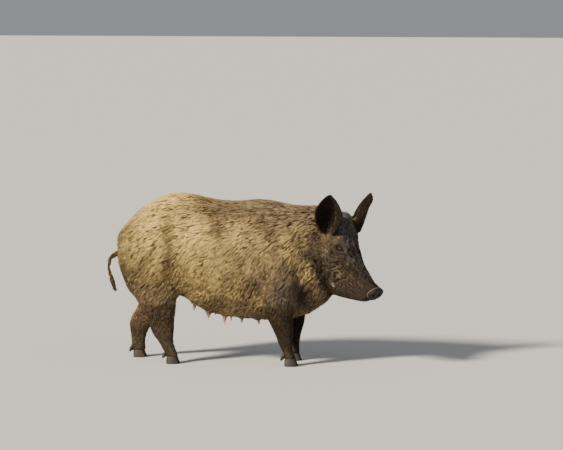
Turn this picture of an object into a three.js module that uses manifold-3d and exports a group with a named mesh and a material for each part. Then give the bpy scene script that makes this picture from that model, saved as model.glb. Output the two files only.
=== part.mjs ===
// A wild boar sow, standing, at life size, as a still museum model.
// Millimetres. +X is forward, +Y is to the left and +Z is up. The solids reach out to the tips of the coat.
import * as THREE from "three";
import { LoftGeometry } from "three/addons/geometries/LoftGeometry.js";
import { mergeVertices } from "three/addons/utils/BufferGeometryUtils.js";
import Module from "manifold-3d";

const wasm = await Module();
wasm.setup();

// ---- Driving sizes ----
const GAP = 0.4; // left between neighbouring solids
const HEAD_TURN = THREE.MathUtils.degToRad(38); // head turned to the animal's right
const FACE_PITCH = THREE.MathUtils.degToRad(52); // muzzle axis, below the horizontal
const POLL = new THREE.Vector3(478, -64, 722); // top of the skull, between the ears
const MUZZLE = { ahead: 195, height: 344 }; // middle of the snout disc, ahead of the poll
const DISC = { half: 37, above: 34, below: 36, thick: 16 };
const MOUTH = { front: [6, -46], back: [150, -122] }; // line of the lips: back from the disc, rise
const EYE = { back: 275, rise: -19, aside: 54, radius: 13.5 };
const EAR = { base: [-22, 104, 612], tip: [34, 138, 800] }; // ahead of the poll, aside, height
const HOOF_HEIGHT = 36;
const LEG_CUT = 300; // height where each leg parts from the body
const TAIL_RADIUS = 11;

const COAT = new THREE.MeshStandardMaterial({ color: 0x8a7a5c, roughness: 0.9 });
const FACE_COAT = new THREE.MeshStandardMaterial({ color: 0x5f543f, roughness: 0.9 });
const LEG_COAT = new THREE.MeshStandardMaterial({ color: 0x453b32, roughness: 0.9 });
const EAR_COAT = new THREE.MeshStandardMaterial({ color: 0x2e2621, roughness: 0.9 });
const NOSE_SKIN = new THREE.MeshStandardMaterial({ color: 0x4a3d38, roughness: 0.5 });
const HORN = new THREE.MeshStandardMaterial({ color: 0x2c2723, roughness: 0.5 });
const EYEBALL = new THREE.MeshStandardMaterial({ color: 0x1a0f0a, roughness: 0.08 });

// ---- Shaping tools ----

// Smooth values through a table: each row is [where, value, value...].
function through(rows) {
  const positions = rows.map((row) => row[0]);
  const values = rows.flatMap((row) => row.slice(1));
  const curve = new THREE.CubicInterpolant(positions, values, rows[0].length - 1);
  return (where) => [...curve.evaluate(THREE.MathUtils.clamp(where, positions[0], positions.at(-1)))];
}

// One oval ring. `across` and `up` are unit vectors; the ring's reach differs above and below its centre.
function oval({ centre, across, up, half, above, below, fullness = 2.2, points }) {
  const bend = (x) => Math.sign(x) * Math.abs(x) ** (2 / fullness);
  return Array.from({ length: points }, (_, i) => {
    const angle = (2 * Math.PI * i) / points;
    const rise = bend(Math.sin(angle)) * (Math.sin(angle) > 0 ? above : below);
    return centre.clone().addScaledVector(across, half * bend(Math.cos(angle))).addScaledVector(up, rise);
  });
}

function evenly(first, last, count) {
  return Array.from({ length: count }, (_, i) => first + ((last - first) * i) / (count - 1));
}

function solid(geometry) {
  const bare = new THREE.BufferGeometry().copy(geometry);
  bare.deleteAttribute("normal");
  bare.deleteAttribute("uv");
  const merged = mergeVertices(bare, 1e-3);
  return new wasm.Manifold(
    new wasm.Mesh({
      numProp: 3,
      vertProperties: merged.attributes.position.array,
      triVerts: new Uint32Array(merged.index.array),
    }),
  );
}

function loft(rings) {
  return solid(new LoftGeometry(rings, { capStart: true, capEnd: true }));
}

// A round, tapering rod along a smooth path.
function rod(path, radii, steps, points) {
  const curve = new THREE.CatmullRomCurve3(path);
  const frames = curve.computeFrenetFrames(steps);
  const radius = through(radii.map((value, i) => [i / (radii.length - 1), value]));
  const rings = evenly(0, 1, steps + 1).map((share, i) => {
    const [reach] = radius(share);
    return oval({
      centre: curve.getPointAt(share),
      across: frames.normals[i],
      up: frames.binormals[i],
      half: reach,
      above: reach,
      below: reach,
      fullness: 2,
      points,
    });
  });
  return loft(rings);
}

function join(solids) {
  return solids.reduce((all, one) => all.add(one));
}

// A block that fills the space beyond a plane, from `depth` past it.
function halfSpace(point, normal, depth = 0) {
  const size = 3000;
  const block = new THREE.BoxGeometry(size, size, size);
  block.translate(0, 0, size / 2 + depth);
  const turn = new THREE.Quaternion().setFromUnitVectors(UP, normal.clone().normalize());
  block.applyQuaternion(turn);
  block.translate(point.x, point.y, point.z);
  return solid(block);
}

// Parts a solid at a plane, with a thin gap. Gives the piece ahead of the plane, then the one behind it.
function part(whole, point, normal) {
  const behind = normal.clone().negate();
  return [
    whole.intersect(halfSpace(point, normal, GAP / 2)),
    whole.intersect(halfSpace(point, behind, GAP / 2)),
  ];
}

// ---- Directions and places of the turned head ----
const UP = new THREE.Vector3(0, 0, 1);
const AHEAD = new THREE.Vector3(Math.cos(HEAD_TURN), -Math.sin(HEAD_TURN), 0);
const HEAD_LEFT = new THREE.Vector3(Math.sin(HEAD_TURN), Math.cos(HEAD_TURN), 0);
const MUZZLE_AXIS = AHEAD.clone().applyAxisAngle(HEAD_LEFT, FACE_PITCH);
const FACE_UP = UP.clone().applyAxisAngle(HEAD_LEFT, FACE_PITCH);
const NOSE = POLL.clone().addScaledVector(AHEAD, MUZZLE.ahead).setZ(MUZZLE.height);

// A place by its distance back from the disc, its rise over the muzzle's axis and its distance to the left.
function onHead(back, rise, left) {
  return NOSE.clone()
    .addScaledVector(MUZZLE_AXIS, -back)
    .addScaledVector(FACE_UP, rise)
    .addScaledVector(HEAD_LEFT, left);
}

// A place by its distance ahead of the poll, to the left, and its height over the ground.
function nearPoll(ahead, left, height) {
  return POLL.clone().addScaledVector(AHEAD, ahead).addScaledVector(HEAD_LEFT, left).setZ(height);
}

// ---- Trunk and neck: upright rings along the spine, which bends towards the head ----

// x, y, turn in degrees, top, bottom, half width, height of the widest level
const SPINE = [
  [-610, 0, 0, 580, 520, 42, 552],
  [-600, 0, 0, 606, 484, 84, 548],
  [-578, 0, 0, 634, 440, 120, 545],
  [-540, 0, 0, 672, 390, 148, 540],
  [-496, 0, 0, 716, 360, 168, 530],
  [-423, 0, 0, 766, 338, 184, 515],
  [-333, 0, 0, 792, 318, 196, 495],
  [-270, 0, 0, 784, 292, 206, 478],
  [-200, 0, 0, 772, 244, 216, 460],
  [-130, 0, 0, 762, 222, 220, 452],
  [-61, 0, 0, 758, 212, 222, 448],
  [56, 0, 0, 764, 200, 214, 455],
  [132, 0, 0, 758, 200, 200, 470],
  [209, -1, 2, 744, 206, 178, 490],
  [300, -9, 12, 740, 238, 148, 505],
  [350, -20, 21, 738, 266, 124, 525],
  [390, -32, 30, 724, 296, 92, 540],
  [425, -46, 36, 690, 350, 54, 550],
];
const SPINE_STEPS = [-610, -606, -600, -590, -575, -555, -530, ...evenly(-500, SPINE.at(-1)[0], 19)];

function trunkAndNeck() {
  const shape = through(SPINE);
  const rings = SPINE_STEPS.map((x) => {
    const [y, turn, top, bottom, half, level] = shape(x);
    const yaw = THREE.MathUtils.degToRad(turn);
    return oval({
      centre: new THREE.Vector3(x, y, level),
      across: new THREE.Vector3(Math.sin(yaw), Math.cos(yaw), 0),
      up: UP,
      half,
      above: top - level,
      below: level - bottom,
      points: 24,
    });
  });
  return loft(rings);
}

// Teats in two rows: x, length of each
const TEATS = [
  [-236, 26],
  [-168, 28],
  [-92, 38],
  [-12, 15],
  [68, 11],
];
const TEAT_ROW = 74; // from the midline

function teats() {
  const shape = through(SPINE);
  return TEATS.flatMap(([x, length]) =>
    [-1, 1].map((side) => {
      const root = new THREE.Vector3(x, side * TEAT_ROW, shape(x)[3] + 26);
      const swelling = root.clone().add(new THREE.Vector3(0, side * 3, -22));
      const tip = root.clone().add(new THREE.Vector3(4, side * 8, -26 - length));
      return rod([root, swelling, tip], [26, 13, 5.5], 3, 7);
    }),
  );
}

// ---- Head: rings square to the muzzle's axis, counted back from the snout disc ----

// back, top, bottom, half width, level of the greatest width
const FACE = [
  [12, 31, -72, 36, -10],
  [45, 20, -112, 41, -34],
  [88, 8, -160, 50, -64],
  [130, 2, -204, 62, -92],
  [175, -1, -234, 75, -112],
  [215, 0, -246, 84, -118],
  [275, 10, -244, 90, -112],
  [345, 38, -236, 103, -88],
  [400, 54, -214, 104, -60],
  [440, 46, -190, 84, -50],
];

function skull() {
  const shape = through(FACE);
  const rings = evenly(FACE.at(-1)[0], FACE[0][0], 17).map((back) => {
    const [top, bottom, half, level] = shape(back);
    return oval({
      centre: onHead(back, level, 0),
      across: HEAD_LEFT,
      up: FACE_UP,
      half,
      above: top - level,
      below: level - bottom,
      fullness: 2.5,
      points: 22,
    });
  });
  return loft(rings);
}

function eyeball(side, grow = 0) {
  const ball = new THREE.SphereGeometry(EYE.radius + grow, 14, 9);
  const centre = onHead(EYE.back, EYE.rise, side * EYE.aside);
  return solid(ball.translate(centre.x, centre.y, centre.z));
}

// The disc of the snout: a rounded plate with a raised rim and two nostrils.
function snoutDisc() {
  const plate = (back, share) =>
    oval({
      centre: onHead(back, 0, 0),
      across: HEAD_LEFT,
      up: FACE_UP,
      half: DISC.half * share,
      above: DISC.above * share,
      below: DISC.below * share,
      points: 24,
    });
  const front = 12 - GAP - DISC.thick;
  const whole = loft([
    plate(12 - GAP, 0.92),
    plate(front + 11, 1),
    plate(front + 5, 1.04),
    plate(front, 0.96),
  ]);
  const dish = loft([plate(front + 2.5, 0.7), plate(front - 2, 0.9)]);
  const nostrils = [-1, 1].map((side) => {
    const hole = new THREE.SphereGeometry(1, 10, 7).scale(6.5, 9, 13);
    const basis = new THREE.Matrix4().makeBasis(HEAD_LEFT, FACE_UP, MUZZLE_AXIS);
    const centre = onHead(front, -1, side * 15);
    return solid(hole.applyMatrix4(basis).translate(centre.x, centre.y, centre.z));
  });
  return whole.subtract(dish).subtract(join(nostrils));
}

// ---- Ears: cupped leaves ----

// share of the length, half width, depth of the cup, thickness
const EAR_LEAF = [
  [0, 22, 40, 12],
  [0.15, 44, 48, 11],
  [0.35, 60, 50, 9],
  [0.55, 61, 44, 8],
  [0.75, 45, 31, 7],
  [0.9, 24, 14, 6],
  [1, 6, 3, 5],
];
const EAR_SPREAD = THREE.MathUtils.degToRad(75);
const EAR_FACING = THREE.MathUtils.degToRad(48); // openings turned out from straight ahead

function ear(side, grow = 0) {
  const base = nearPoll(EAR.base[0], side * EAR.base[1], EAR.base[2]);
  const tip = nearPoll(EAR.tip[0], side * EAR.tip[1], EAR.tip[2]);
  const along = tip.clone().sub(base);
  const axis = along.clone().normalize();
  const opening = AHEAD.clone()
    .multiplyScalar(Math.cos(EAR_FACING))
    .addScaledVector(HEAD_LEFT, side * Math.sin(EAR_FACING));
  opening.addScaledVector(axis, -opening.dot(axis)).normalize();
  const across = axis.clone().cross(opening).normalize();
  const shape = through(EAR_LEAF);
  const reach = grow / along.length();
  const rings = evenly(-reach, 1 + reach, 9).map((share) => {
    const [half, depth, thickness] = shape(share);
    const centre = base.clone().addScaledVector(along, share);
    const point = (angle, out) => {
      const bow = (Math.cos(angle) - Math.cos(EAR_SPREAD)) / (1 - Math.cos(EAR_SPREAD));
      return centre
        .clone()
        .addScaledVector(across, ((half + out) * Math.sin(angle)) / Math.sin(EAR_SPREAD))
        .addScaledVector(opening, -depth * bow - out * Math.cos(angle));
    };
    const angles = evenly(-EAR_SPREAD, EAR_SPREAD, 8);
    const skin = thickness / 2 + grow;
    return [...angles.map((a) => point(a, -skin)), ...angles.reverse().map((a) => point(a, skin))];
  });
  return loft(rings);
}

// ---- Legs: level rings from inside the body down to the coronet ----

// height, back edge, front edge, middle to the side, half breadth
const FORELEG = [
  [HOOF_HEIGHT, 192, 250, 104, 28],
  [50, 190, 242, 104, 26],
  [75, 182, 231, 104, 23],
  [100, 171, 229, 105, 26],
  [154, 150, 236, 107, 34],
  [220, 116, 236, 111, 50],
  [270, 96, 246, 113, 66],
  [320, 78, 256, 115, 78],
  [380, 60, 264, 116, 86],
  [470, 40, 264, 114, 90],
  [560, 42, 244, 106, 84],
  [640, 72, 214, 84, 58],
];
const HIND_LEG = [
  [HOOF_HEIGHT, -366, -303, 104, 28],
  [60, -377, -314, 104, 26],
  [109, -404, -326, 105, 27],
  [157, -434, -325, 106, 34],
  [200, -447, -321, 108, 41],
  [245, -464, -317, 110, 54],
  [289, -494, -311, 111, 66],
  [330, -532, -300, 110, 78],
  [370, -556, -278, 108, 86],
  [430, -580, -262, 104, 94],
  [500, -592, -268, 100, 95],
  [580, -578, -292, 94, 88],
  [660, -520, -335, 76, 66],
];
// height, how far that level is moved forward from the right leg's stance
const LEFT_FORE_STANCE = [
  [0, -22],
  [HOOF_HEIGHT, -18],
  [100, 3],
  [150, 10],
  [200, 20],
  [350, 4],
];
const LEFT_HIND_STANCE = [
  [0, -206],
  [HOOF_HEIGHT, -203],
  [110, -172],
  [200, -120],
  [270, -52],
  [360, 0],
];
const STANDING_SQUARE = [
  [0, 0],
  [1000, 0],
];
const LEGS = [
  { name: "fore", handed: "right", side: -1, rows: FORELEG, stance: STANDING_SQUARE },
  { name: "fore", handed: "left", side: 1, rows: FORELEG, stance: LEFT_FORE_STANCE },
  { name: "hind", handed: "right", side: -1, rows: HIND_LEG, stance: STANDING_SQUARE },
  { name: "hind", handed: "left", side: 1, rows: HIND_LEG, stance: LEFT_HIND_STANCE },
];

function leg({ rows, side, stance }, grow = 0) {
  const shape = through(rows);
  const moved = through(stance);
  const heights = [...evenly(rows.at(-1)[0], 240, 9), ...evenly(215, rows[0][0], 8)];
  const rings = heights.map((height) => {
    const [back, front, aside, half] = shape(height);
    const reach = (front - back) / 2 + grow;
    return oval({
      centre: new THREE.Vector3((back + front) / 2 + moved(height)[0], side * aside, height),
      across: new THREE.Vector3(0, 1, 0),
      up: new THREE.Vector3(1, 0, 0),
      half: half + grow,
      above: reach,
      below: reach,
      points: 14,
    });
  });
  return loft(rings);
}

// Middle of a foot, level with the coronet.
function footOf({ rows, side, stance }) {
  const [, back, front, aside] = rows[0];
  const moved = through(stance)(HOOF_HEIGHT)[0];
  return new THREE.Vector3((back + front) / 2 + moved, side * aside, 0);
}

// One of the two claws of a foot: height, back reach, front reach, half breadth, aside
const CLAW = [
  [HOOF_HEIGHT - GAP, 24, 24, 11.5, 13],
  [22, 25, 29, 13, 14],
  [9, 25, 34, 14, 15],
  [0, 24, 36, 14, 15],
];

function claw(foot, toe) {
  const rings = CLAW.map(([height, back, front, half, aside]) =>
    oval({
      centre: foot.clone().add(new THREE.Vector3(0, toe * aside, height)),
      across: new THREE.Vector3(0, 1, 0),
      up: new THREE.Vector3(1, 0, 0),
      half,
      above: front,
      below: back,
      fullness: 1.8,
      points: 12,
    }),
  );
  return loft(rings);
}

function dewclaw(foot, toe) {
  const path = [
    [-14, 13, 66],
    [-32, 17, 48],
    [-40, 19, 26],
  ].map(([x, aside, height]) => foot.clone().add(new THREE.Vector3(x, toe * aside, height)));
  return rod(path, [9, 9, 5], 3, 7);
}

// ---- Tail ----
const TAIL_PATH = [
  [-570, 0, 500],
  [-620, 0, 497],
  [-647, -2, 478],
  [-656, -4, 440],
  [-646, -8, 395],
  [-632, -8, 355],
  [-622, -6, 318],
].map((place) => new THREE.Vector3(...place));

function tail(grow = 0) {
  const taper = [1.5, 1.2, 0.9, 0.8, 0.8, 1.1, 0.4];
  return rod(TAIL_PATH, taper.map((share) => TAIL_RADIUS * share + grow), 14, 10);
}

// ---- Where the neck parts from the trunk and from the head ----
const SHOULDER_JOINT = { place: new THREE.Vector3(277, 0, 480), facing: new THREE.Vector3(1, 0, 0.1) };
const NECK_JOINT = { place: new THREE.Vector3(356, -15, 500), facing: new THREE.Vector3(0.86, -0.3, 0.26) };

// ---- Building the animal and parting it into its pieces ----
const boar = new THREE.Group();
boar.name = "wild_boar";

function place(name, made, material) {
  const { vertProperties, triVerts } = made.getMesh();
  const geometry = new THREE.BufferGeometry();
  geometry.setAttribute("position", new THREE.BufferAttribute(new Float32Array(vertProperties), 3));
  geometry.setIndex(new THREE.BufferAttribute(triVerts, 1));
  geometry.computeVertexNormals();
  const mesh = new THREE.Mesh(geometry, material);
  mesh.name = name;
  boar.add(mesh);
}

let body = join([trunkAndNeck(), ...teats(), skull(), ...LEGS.map((one) => leg(one))]);
const belowCut = halfSpace(new THREE.Vector3(0, 0, LEG_CUT), UP.clone().negate());
const belowPocket = halfSpace(new THREE.Vector3(0, 0, LEG_CUT + GAP), UP.clone().negate());

for (const one of LEGS) {
  const lower = leg(one).intersect(belowCut);
  const room = leg(one, GAP);
  body = body.subtract(room.intersect(belowPocket));
  place(`${one.name}leg_${one.handed}`, lower, LEG_COAT);
  const foot = footOf(one);
  for (const [toe, which] of [[-one.side, "inner"], [one.side, "outer"]]) {
    place(`hoof_${one.name}_${one.handed}_${which}`, claw(foot, toe), HORN);
    place(`dewclaw_${one.name}_${one.handed}_${which}`, dewclaw(foot, toe).subtract(room), HORN);
  }
}

for (const [side, handed] of [[-1, "right"], [1, "left"]]) {
  body = body.subtract(ear(side, GAP)).subtract(eyeball(side, GAP));
  place(`ear_${handed}`, ear(side), EAR_COAT);
  place(`eye_${handed}`, eyeball(side), EYEBALL);
}

body = body.subtract(tail(GAP));
place("tail", tail(), COAT);

const [headAndNeck, trunk] = part(body, SHOULDER_JOINT.place, SHOULDER_JOINT.facing);
const [wholeHead, neck] = part(headAndNeck, NECK_JOINT.place, NECK_JOINT.facing);
const mouthFront = onHead(...MOUTH.front, 0);
const mouthSlope = onHead(...MOUTH.back, 0).sub(mouthFront);
const [head, lowerJaw] = part(wholeHead, mouthFront, mouthSlope.cross(HEAD_LEFT));
place("trunk", trunk, COAT);
place("neck", neck, COAT);
place("head", head, FACE_COAT);
place("lower_jaw", lowerJaw, FACE_COAT);
place("snout_disc", snoutDisc(), NOSE_SKIN);

// The origin is under the middle of the whole animal, on the floor.
const box = new THREE.Box3().setFromObject(boar);
const middle = box.getCenter(new THREE.Vector3());
boar.position.set(-middle.x, -middle.y, -box.min.z);

export default boar;
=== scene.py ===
"""A wild boar sow, standing: one skin, a long bristly coat over it, hooves, eyes and a plain studio."""

import math

import bmesh
import bpy
import numpy as np
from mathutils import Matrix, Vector
from mathutils.bvhtree import BVHTree
from mathutils.kdtree import KDTree


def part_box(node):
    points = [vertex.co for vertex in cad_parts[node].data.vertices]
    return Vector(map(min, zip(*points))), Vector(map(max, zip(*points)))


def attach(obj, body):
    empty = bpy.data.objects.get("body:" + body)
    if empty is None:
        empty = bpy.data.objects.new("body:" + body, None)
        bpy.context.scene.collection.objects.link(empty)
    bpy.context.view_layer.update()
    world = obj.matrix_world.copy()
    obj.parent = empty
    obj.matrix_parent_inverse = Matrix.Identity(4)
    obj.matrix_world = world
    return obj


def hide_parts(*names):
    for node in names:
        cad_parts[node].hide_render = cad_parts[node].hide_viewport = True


bl_info = {
    "name": "Wild Boar Sow",
    "version": (1, 0, 0),
    "blender": (4, 5, 0),
    "location": "View3D > Sidebar > Boar",
    "description": "Builds the skin, coat, hooves and eyes of a standing wild boar sow",
    "category": "Object",
}

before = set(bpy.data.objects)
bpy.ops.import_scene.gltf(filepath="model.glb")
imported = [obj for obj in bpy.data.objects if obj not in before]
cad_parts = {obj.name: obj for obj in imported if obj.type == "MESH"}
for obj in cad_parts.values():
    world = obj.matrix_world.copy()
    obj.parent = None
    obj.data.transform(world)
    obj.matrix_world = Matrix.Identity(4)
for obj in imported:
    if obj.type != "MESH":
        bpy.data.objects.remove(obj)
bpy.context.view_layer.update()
MM = 0.001

# ---- The animal's own measures, in metres, in the frame of its solids ----
SHIFT = Vector((-0.079 * MM, 0, 0))
HEAD_TURN = math.radians(38)
FACE_PITCH = math.radians(52)
POLL = Vector((0.478, -0.064, 0.722)) + SHIFT
MUZZLE_AHEAD, MUZZLE_HEIGHT = 0.195, 0.344
EYE_BACK, EYE_RISE, EYE_ASIDE, EYE_RADIUS = 0.275, -0.0200, 0.0525, 0.0120
NOSTRIL_ASIDE = 0.015
MOUTH_FRONT, MOUTH_SLOPE, MOUTH_CORNER = (0.006, -0.046), -76 / 144, 0.128
EAR_BASE, EAR_TIP = (-0.022, 0.104, 0.612), (0.034, 0.138, 0.800)
EAR_FACING = math.radians(48)
# Each pair of teats: its x and the belly's height there
TEATS = [(-0.234, 0.268), (-0.166, 0.235), (-0.090, 0.217), (-0.010, 0.210), (0.070, 0.202)]
FOOT_AHEAD = {"foreleg_right": 0.221, "foreleg_left": 0.203, "hindleg_right": -0.335, "hindleg_left": -0.538}
SIDES = {"right": -1, "left": 1}
LEGS = [f"{pair}leg_{side}" for pair in ("fore", "hind") for side in SIDES]
EARS = [f"ear_{side}" for side in SIDES]
FACE_NODES = ["head", "lower_jaw", "snout_disc"]
FLESH = ["trunk", "neck", "tail", *FACE_NODES, *EARS, *LEGS]
REGIONS = {
    "trunk": ["trunk"],
    "neck": ["neck"],
    "head": ["head", "lower_jaw"],
    "disc": ["snout_disc"],
    "ear": EARS,
    "leg": LEGS,
    "tail": ["tail"],
}

AHEAD = Vector((math.cos(HEAD_TURN), -math.sin(HEAD_TURN), 0))
HEAD_LEFT = Vector((math.sin(HEAD_TURN), math.cos(HEAD_TURN), 0))
UP = Vector((0, 0, 1))
MUZZLE_AXIS = AHEAD * math.cos(FACE_PITCH) - UP * math.sin(FACE_PITCH)
FACE_UP = AHEAD * math.sin(FACE_PITCH) + UP * math.cos(FACE_PITCH)
NOSE = Vector((*(POLL + AHEAD * MUZZLE_AHEAD).xy, MUZZLE_HEIGHT))


def on_head(back, rise, left):
    return NOSE - MUZZLE_AXIS * back + FACE_UP * rise + HEAD_LEFT * left


def near_poll(ahead, left, height):
    place = POLL + AHEAD * ahead + HEAD_LEFT * left
    return Vector((place.x, place.y, height))


def head_coordinates(points):
    """How far each point is back from the disc, over the muzzle's axis and to the left."""
    away = points - np.array(NOSE)
    return away @ -np.array(MUZZLE_AXIS), away @ np.array(FACE_UP), away @ np.array(HEAD_LEFT)


# ---- Numbers over a mesh ----
def smoothstep(low, high, value):
    share = np.clip((value - low) / (high - low), 0, 1)
    return share * share * (3 - 2 * share)


def bump(value, middle, reach):
    """1 at the middle, falling smoothly to nothing at `reach` from it."""
    return 1 - smoothstep(0, reach, np.abs(value - middle))


def unit(vectors):
    return vectors / np.maximum(np.linalg.norm(vectors, axis=-1, keepdims=True), 1e-12)


def mesh_points(mesh):
    found = np.empty(len(mesh.vertices) * 3, np.float32)
    mesh.vertices.foreach_get("co", found)
    return found.reshape(-1, 3).astype(float)


def mesh_triangles(mesh):
    mesh.calc_loop_triangles()
    found = np.empty(len(mesh.loop_triangles) * 3, np.int32)
    mesh.loop_triangles.foreach_get("vertices", found)
    return found.reshape(-1, 3)


def mesh_edges(mesh):
    found = np.empty(len(mesh.edges) * 2, np.int32)
    mesh.edges.foreach_get("vertices", found)
    return found.reshape(-1, 2)


def reshape(mesh, points):
    """Moves a mesh's vertices to their places and shades it smooth."""
    mesh.vertices.foreach_set("co", points.astype(np.float32).ravel())
    mesh.polygons.foreach_set("use_smooth", np.ones(len(mesh.polygons), bool))


def vertex_normals(points, triangles):
    a, b, c = (points[triangles[:, i]] for i in range(3))
    faces = np.cross(b - a, c - a)
    normals = np.zeros_like(points)
    for i in range(3):
        for axis in range(3):
            normals[:, axis] += np.bincount(triangles[:, i], faces[:, axis], len(points))
    return unit(normals)


class Web:
    """Which vertices are joined, for spreading values smoothly over a mesh."""

    def __init__(self, edges, count):
        both = np.vstack([edges, edges[:, ::-1]])
        both = both[np.argsort(both[:, 0], kind="stable")]
        self.other = both[:, 1]
        self.number = np.maximum(np.bincount(both[:, 0], minlength=count), 1)
        self.start = np.minimum(np.concatenate([[0], np.cumsum(self.number)[:-1]]), len(self.other) - 1)

    def around(self, values):
        total = np.add.reduceat(values[self.other], self.start, axis=0)
        return total / (self.number if values.ndim == 1 else self.number[:, None])

    def smooth(self, values, share, rounds):
        share = share[:, None] if np.ndim(share) and values.ndim > 1 else share
        for _ in range(rounds):
            values = values + share * (self.around(values) - values)
        return values


def waves(points, size, seed):
    """Soft random waves through space, between about -1 and 1."""
    rng = np.random.default_rng(seed)
    total = np.zeros(len(points))
    for _ in range(7):
        wave = unit(rng.normal(size=3)) * 2 * math.pi / size
        total += np.sin(points @ wave + rng.uniform(0, 2 * math.pi))
    return total / 3.2


def speckle(points, size, seed):
    """A random number from 0 to 1 for every cell of a grid through space."""
    cell = np.floor(points / size).astype(np.int64) @ np.array([73856093, 19349663, 83492791]) + seed * 7919
    cell = (cell ^ (cell >> 13)) * 1274126177
    return ((cell ^ (cell >> 16)) & 0xFFFF) / 65535


def drawn_out(points, flow, size, seed):
    """Random streaks along the lie of the hair, `size` wide, mostly between -1 and 1."""
    steps = [speckle(points + flow * size * 1.2 * step, size, seed) for step in range(-4, 5)]
    return (np.mean(steps, axis=0) - 0.5) * 5.2


# ---- Shader nodes written as sums ----
class Value:
    """A shader socket that can be added, multiplied and compared."""

    def __init__(self, nodes, socket):
        self.nodes, self.socket = nodes, socket

    def _maths(self, operation, *values):
        return self.nodes.make("ShaderNodeMath", {"operation": operation}, *values)

    def __add__(self, other):
        return self._maths("ADD", self, other)

    def __sub__(self, other):
        return self._maths("SUBTRACT", self, other)

    def __rsub__(self, other):
        return self._maths("SUBTRACT", other, self)

    def __mul__(self, other):
        return self._maths("MULTIPLY", self, other)

    def __pow__(self, other):
        return self._maths("POWER", self, other)

    __radd__ = __add__
    __rmul__ = __mul__

    def clamped(self, low=0.0, high=1.0):
        return self.nodes.make("ShaderNodeClamp", {}, self, low, high)


class Nodes:
    """The node tree of one material."""

    def __init__(self, name):
        self.material = bpy.data.materials.new(name)
        self.material.use_nodes = True
        self.tree = self.material.node_tree
        self.shader = self.tree.nodes["Principled BSDF"]

    def make(self, kind, settings, *values, output=0, sockets=None, **named):
        """A node with its settings made first, then its sockets' values or links. Gives one output."""
        node = self.tree.nodes.new(kind)
        for key, value in settings.items():
            setattr(node, key, value)
        for place, value in [*zip(sockets or range(len(values)), values), *named.items()]:
            self.feed(node.inputs[place], value)
        return Value(self, node.outputs[output])

    def feed(self, socket, value):
        if isinstance(value, Value):
            self.tree.links.new(value.socket, socket)
        elif isinstance(value, (tuple, list)) or hasattr(value, "__len__"):
            socket.default_value = [*value, 1.0][: len(socket.default_value)]
        else:
            socket.default_value = value

    def set(self, name, value):
        self.feed(self.shader.inputs[name], value)

    def attribute(self, name, output="Fac"):
        return self.make("ShaderNodeAttribute", {"attribute_name": name}, output=output)

    def place(self):
        return self.make("ShaderNodeTexCoord", {}, output="Object")

    def stretched(self, vector, *scale):
        return self.make("ShaderNodeVectorMath", {"operation": "MULTIPLY"}, vector, scale)

    def noise(self, vector, scale, detail=3.0, roughness=0.5):
        return self.make(
            "ShaderNodeTexNoise", {}, Vector=vector, Scale=scale, Detail=detail, Roughness=roughness
        )

    def mix(self, share, first, second):
        colours = {"data_type": "RGBA"}
        return self.make("ShaderNodeMix", colours, share, first, second, output=2, sockets=(0, 6, 7))

    def bumped(self, height, distance, strength=1.0):
        bump_node = self.make("ShaderNodeBump", {}, Height=height, Distance=distance, Strength=strength)
        self.set("Normal", bump_node)


# ---- Sizes and colours a user may change ----
def colour(name, description, default):
    return bpy.props.FloatVectorProperty(
        name=name, description=description, subtype="COLOR", size=3, min=0, max=1, default=default
    )


def length(name, description, default):
    return bpy.props.FloatProperty(
        name=name, description=description, default=default, min=0, unit="LENGTH", precision=4
    )


class BoarCoatSettings(bpy.types.PropertyGroup):
    """Sizes and colours of the bristles."""

    lock_length: length("Lock length", "Length of the locks on the flank", 0.040)
    lock_width: length("Lock width", "Width of one tuft at its fullest on the flank", 0.0024)
    face_length: length("Face hair", "Length of the hair on the cheeks", 0.015)
    amount: bpy.props.FloatProperty(
        name="Amount", description="Share of the full number of locks", default=1.0, min=0.05, max=1.2
    )
    seed: bpy.props.IntProperty(name="Seed", description="Changes where each lock falls", default=7)
    buff: colour("Buff", "Sunlit bristles of the back and flank", (0.95, 0.695, 0.245))
    # On the face sand also carries painted highlights: on the ridges of the cheek folds, on the fold before
    # each eye, and partly on the brow and upper cheek.
    sand: colour("Sand", "Pale hair of the brow and cheeks", (0.70, 0.56, 0.37))
    # Brown also stands for painted shade where the pale mask is lowered: in the hollow before the thigh and
    # on the rear of the rump.
    brown: colour("Brown", "Bristles of the neck, belly and upper legs", (0.215, 0.145, 0.062))
    # Dark also carries painted shade: in the valleys of the cheek folds, round the lids, along the crease
    # before the arm, in a line under the neck, behind the jowl, partly on the top of the muzzle, and on the
    # far foreleg.
    dark: colour("Dark", "Hair of the lower legs and ears", (0.013, 0.009, 0.007))
    # On the top plane of the face slate is partly the hair's own grey and partly painted shade of that
    # shaded, sky-lit plane.
    slate: colour("Slate", "Hair of the forehead and the bridge of the nose", (0.250, 0.228, 0.222))
    olive: colour("Olive", "Hair of the face and cheeks", (0.0215, 0.0162, 0.0102))
    ruddy: colour("Ruddy", "Reddish hair of the forearm and shank", (0.42, 0.235, 0.125))
    root: colour("Root", "Bristles near the skin", (0.036, 0.024, 0.015))


class BoarSkinSettings(bpy.types.PropertyGroup):
    """Sizes and colours of the bare skin, eyes and hooves."""

    grain: length("Grain", "Edge length of the skin's mesh before it is thinned out", 0.0032)
    hide: colour("Hide", "Skin under the coat", (0.050, 0.037, 0.028))
    snout: colour("Snout", "Bare skin of the snout disc", (0.009, 0.007, 0.0062))
    # The rim is laid only along the disc's upper edge: partly its paler skin, partly a painted highlight.
    rim: colour("Rim", "Paler rim of the snout disc", (0.32, 0.26, 0.235))
    teat: colour("Teat", "Bare skin of the teats", (0.50, 0.255, 0.20))
    iris: colour("Iris", "Ring around the pupil", (0.030, 0.013, 0.007))
    horn: colour("Horn", "Hooves and dewclaws", (0.019, 0.0155, 0.0135))
    mud: colour("Mud", "Dried mud on the feet", (0.105, 0.086, 0.067))


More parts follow.
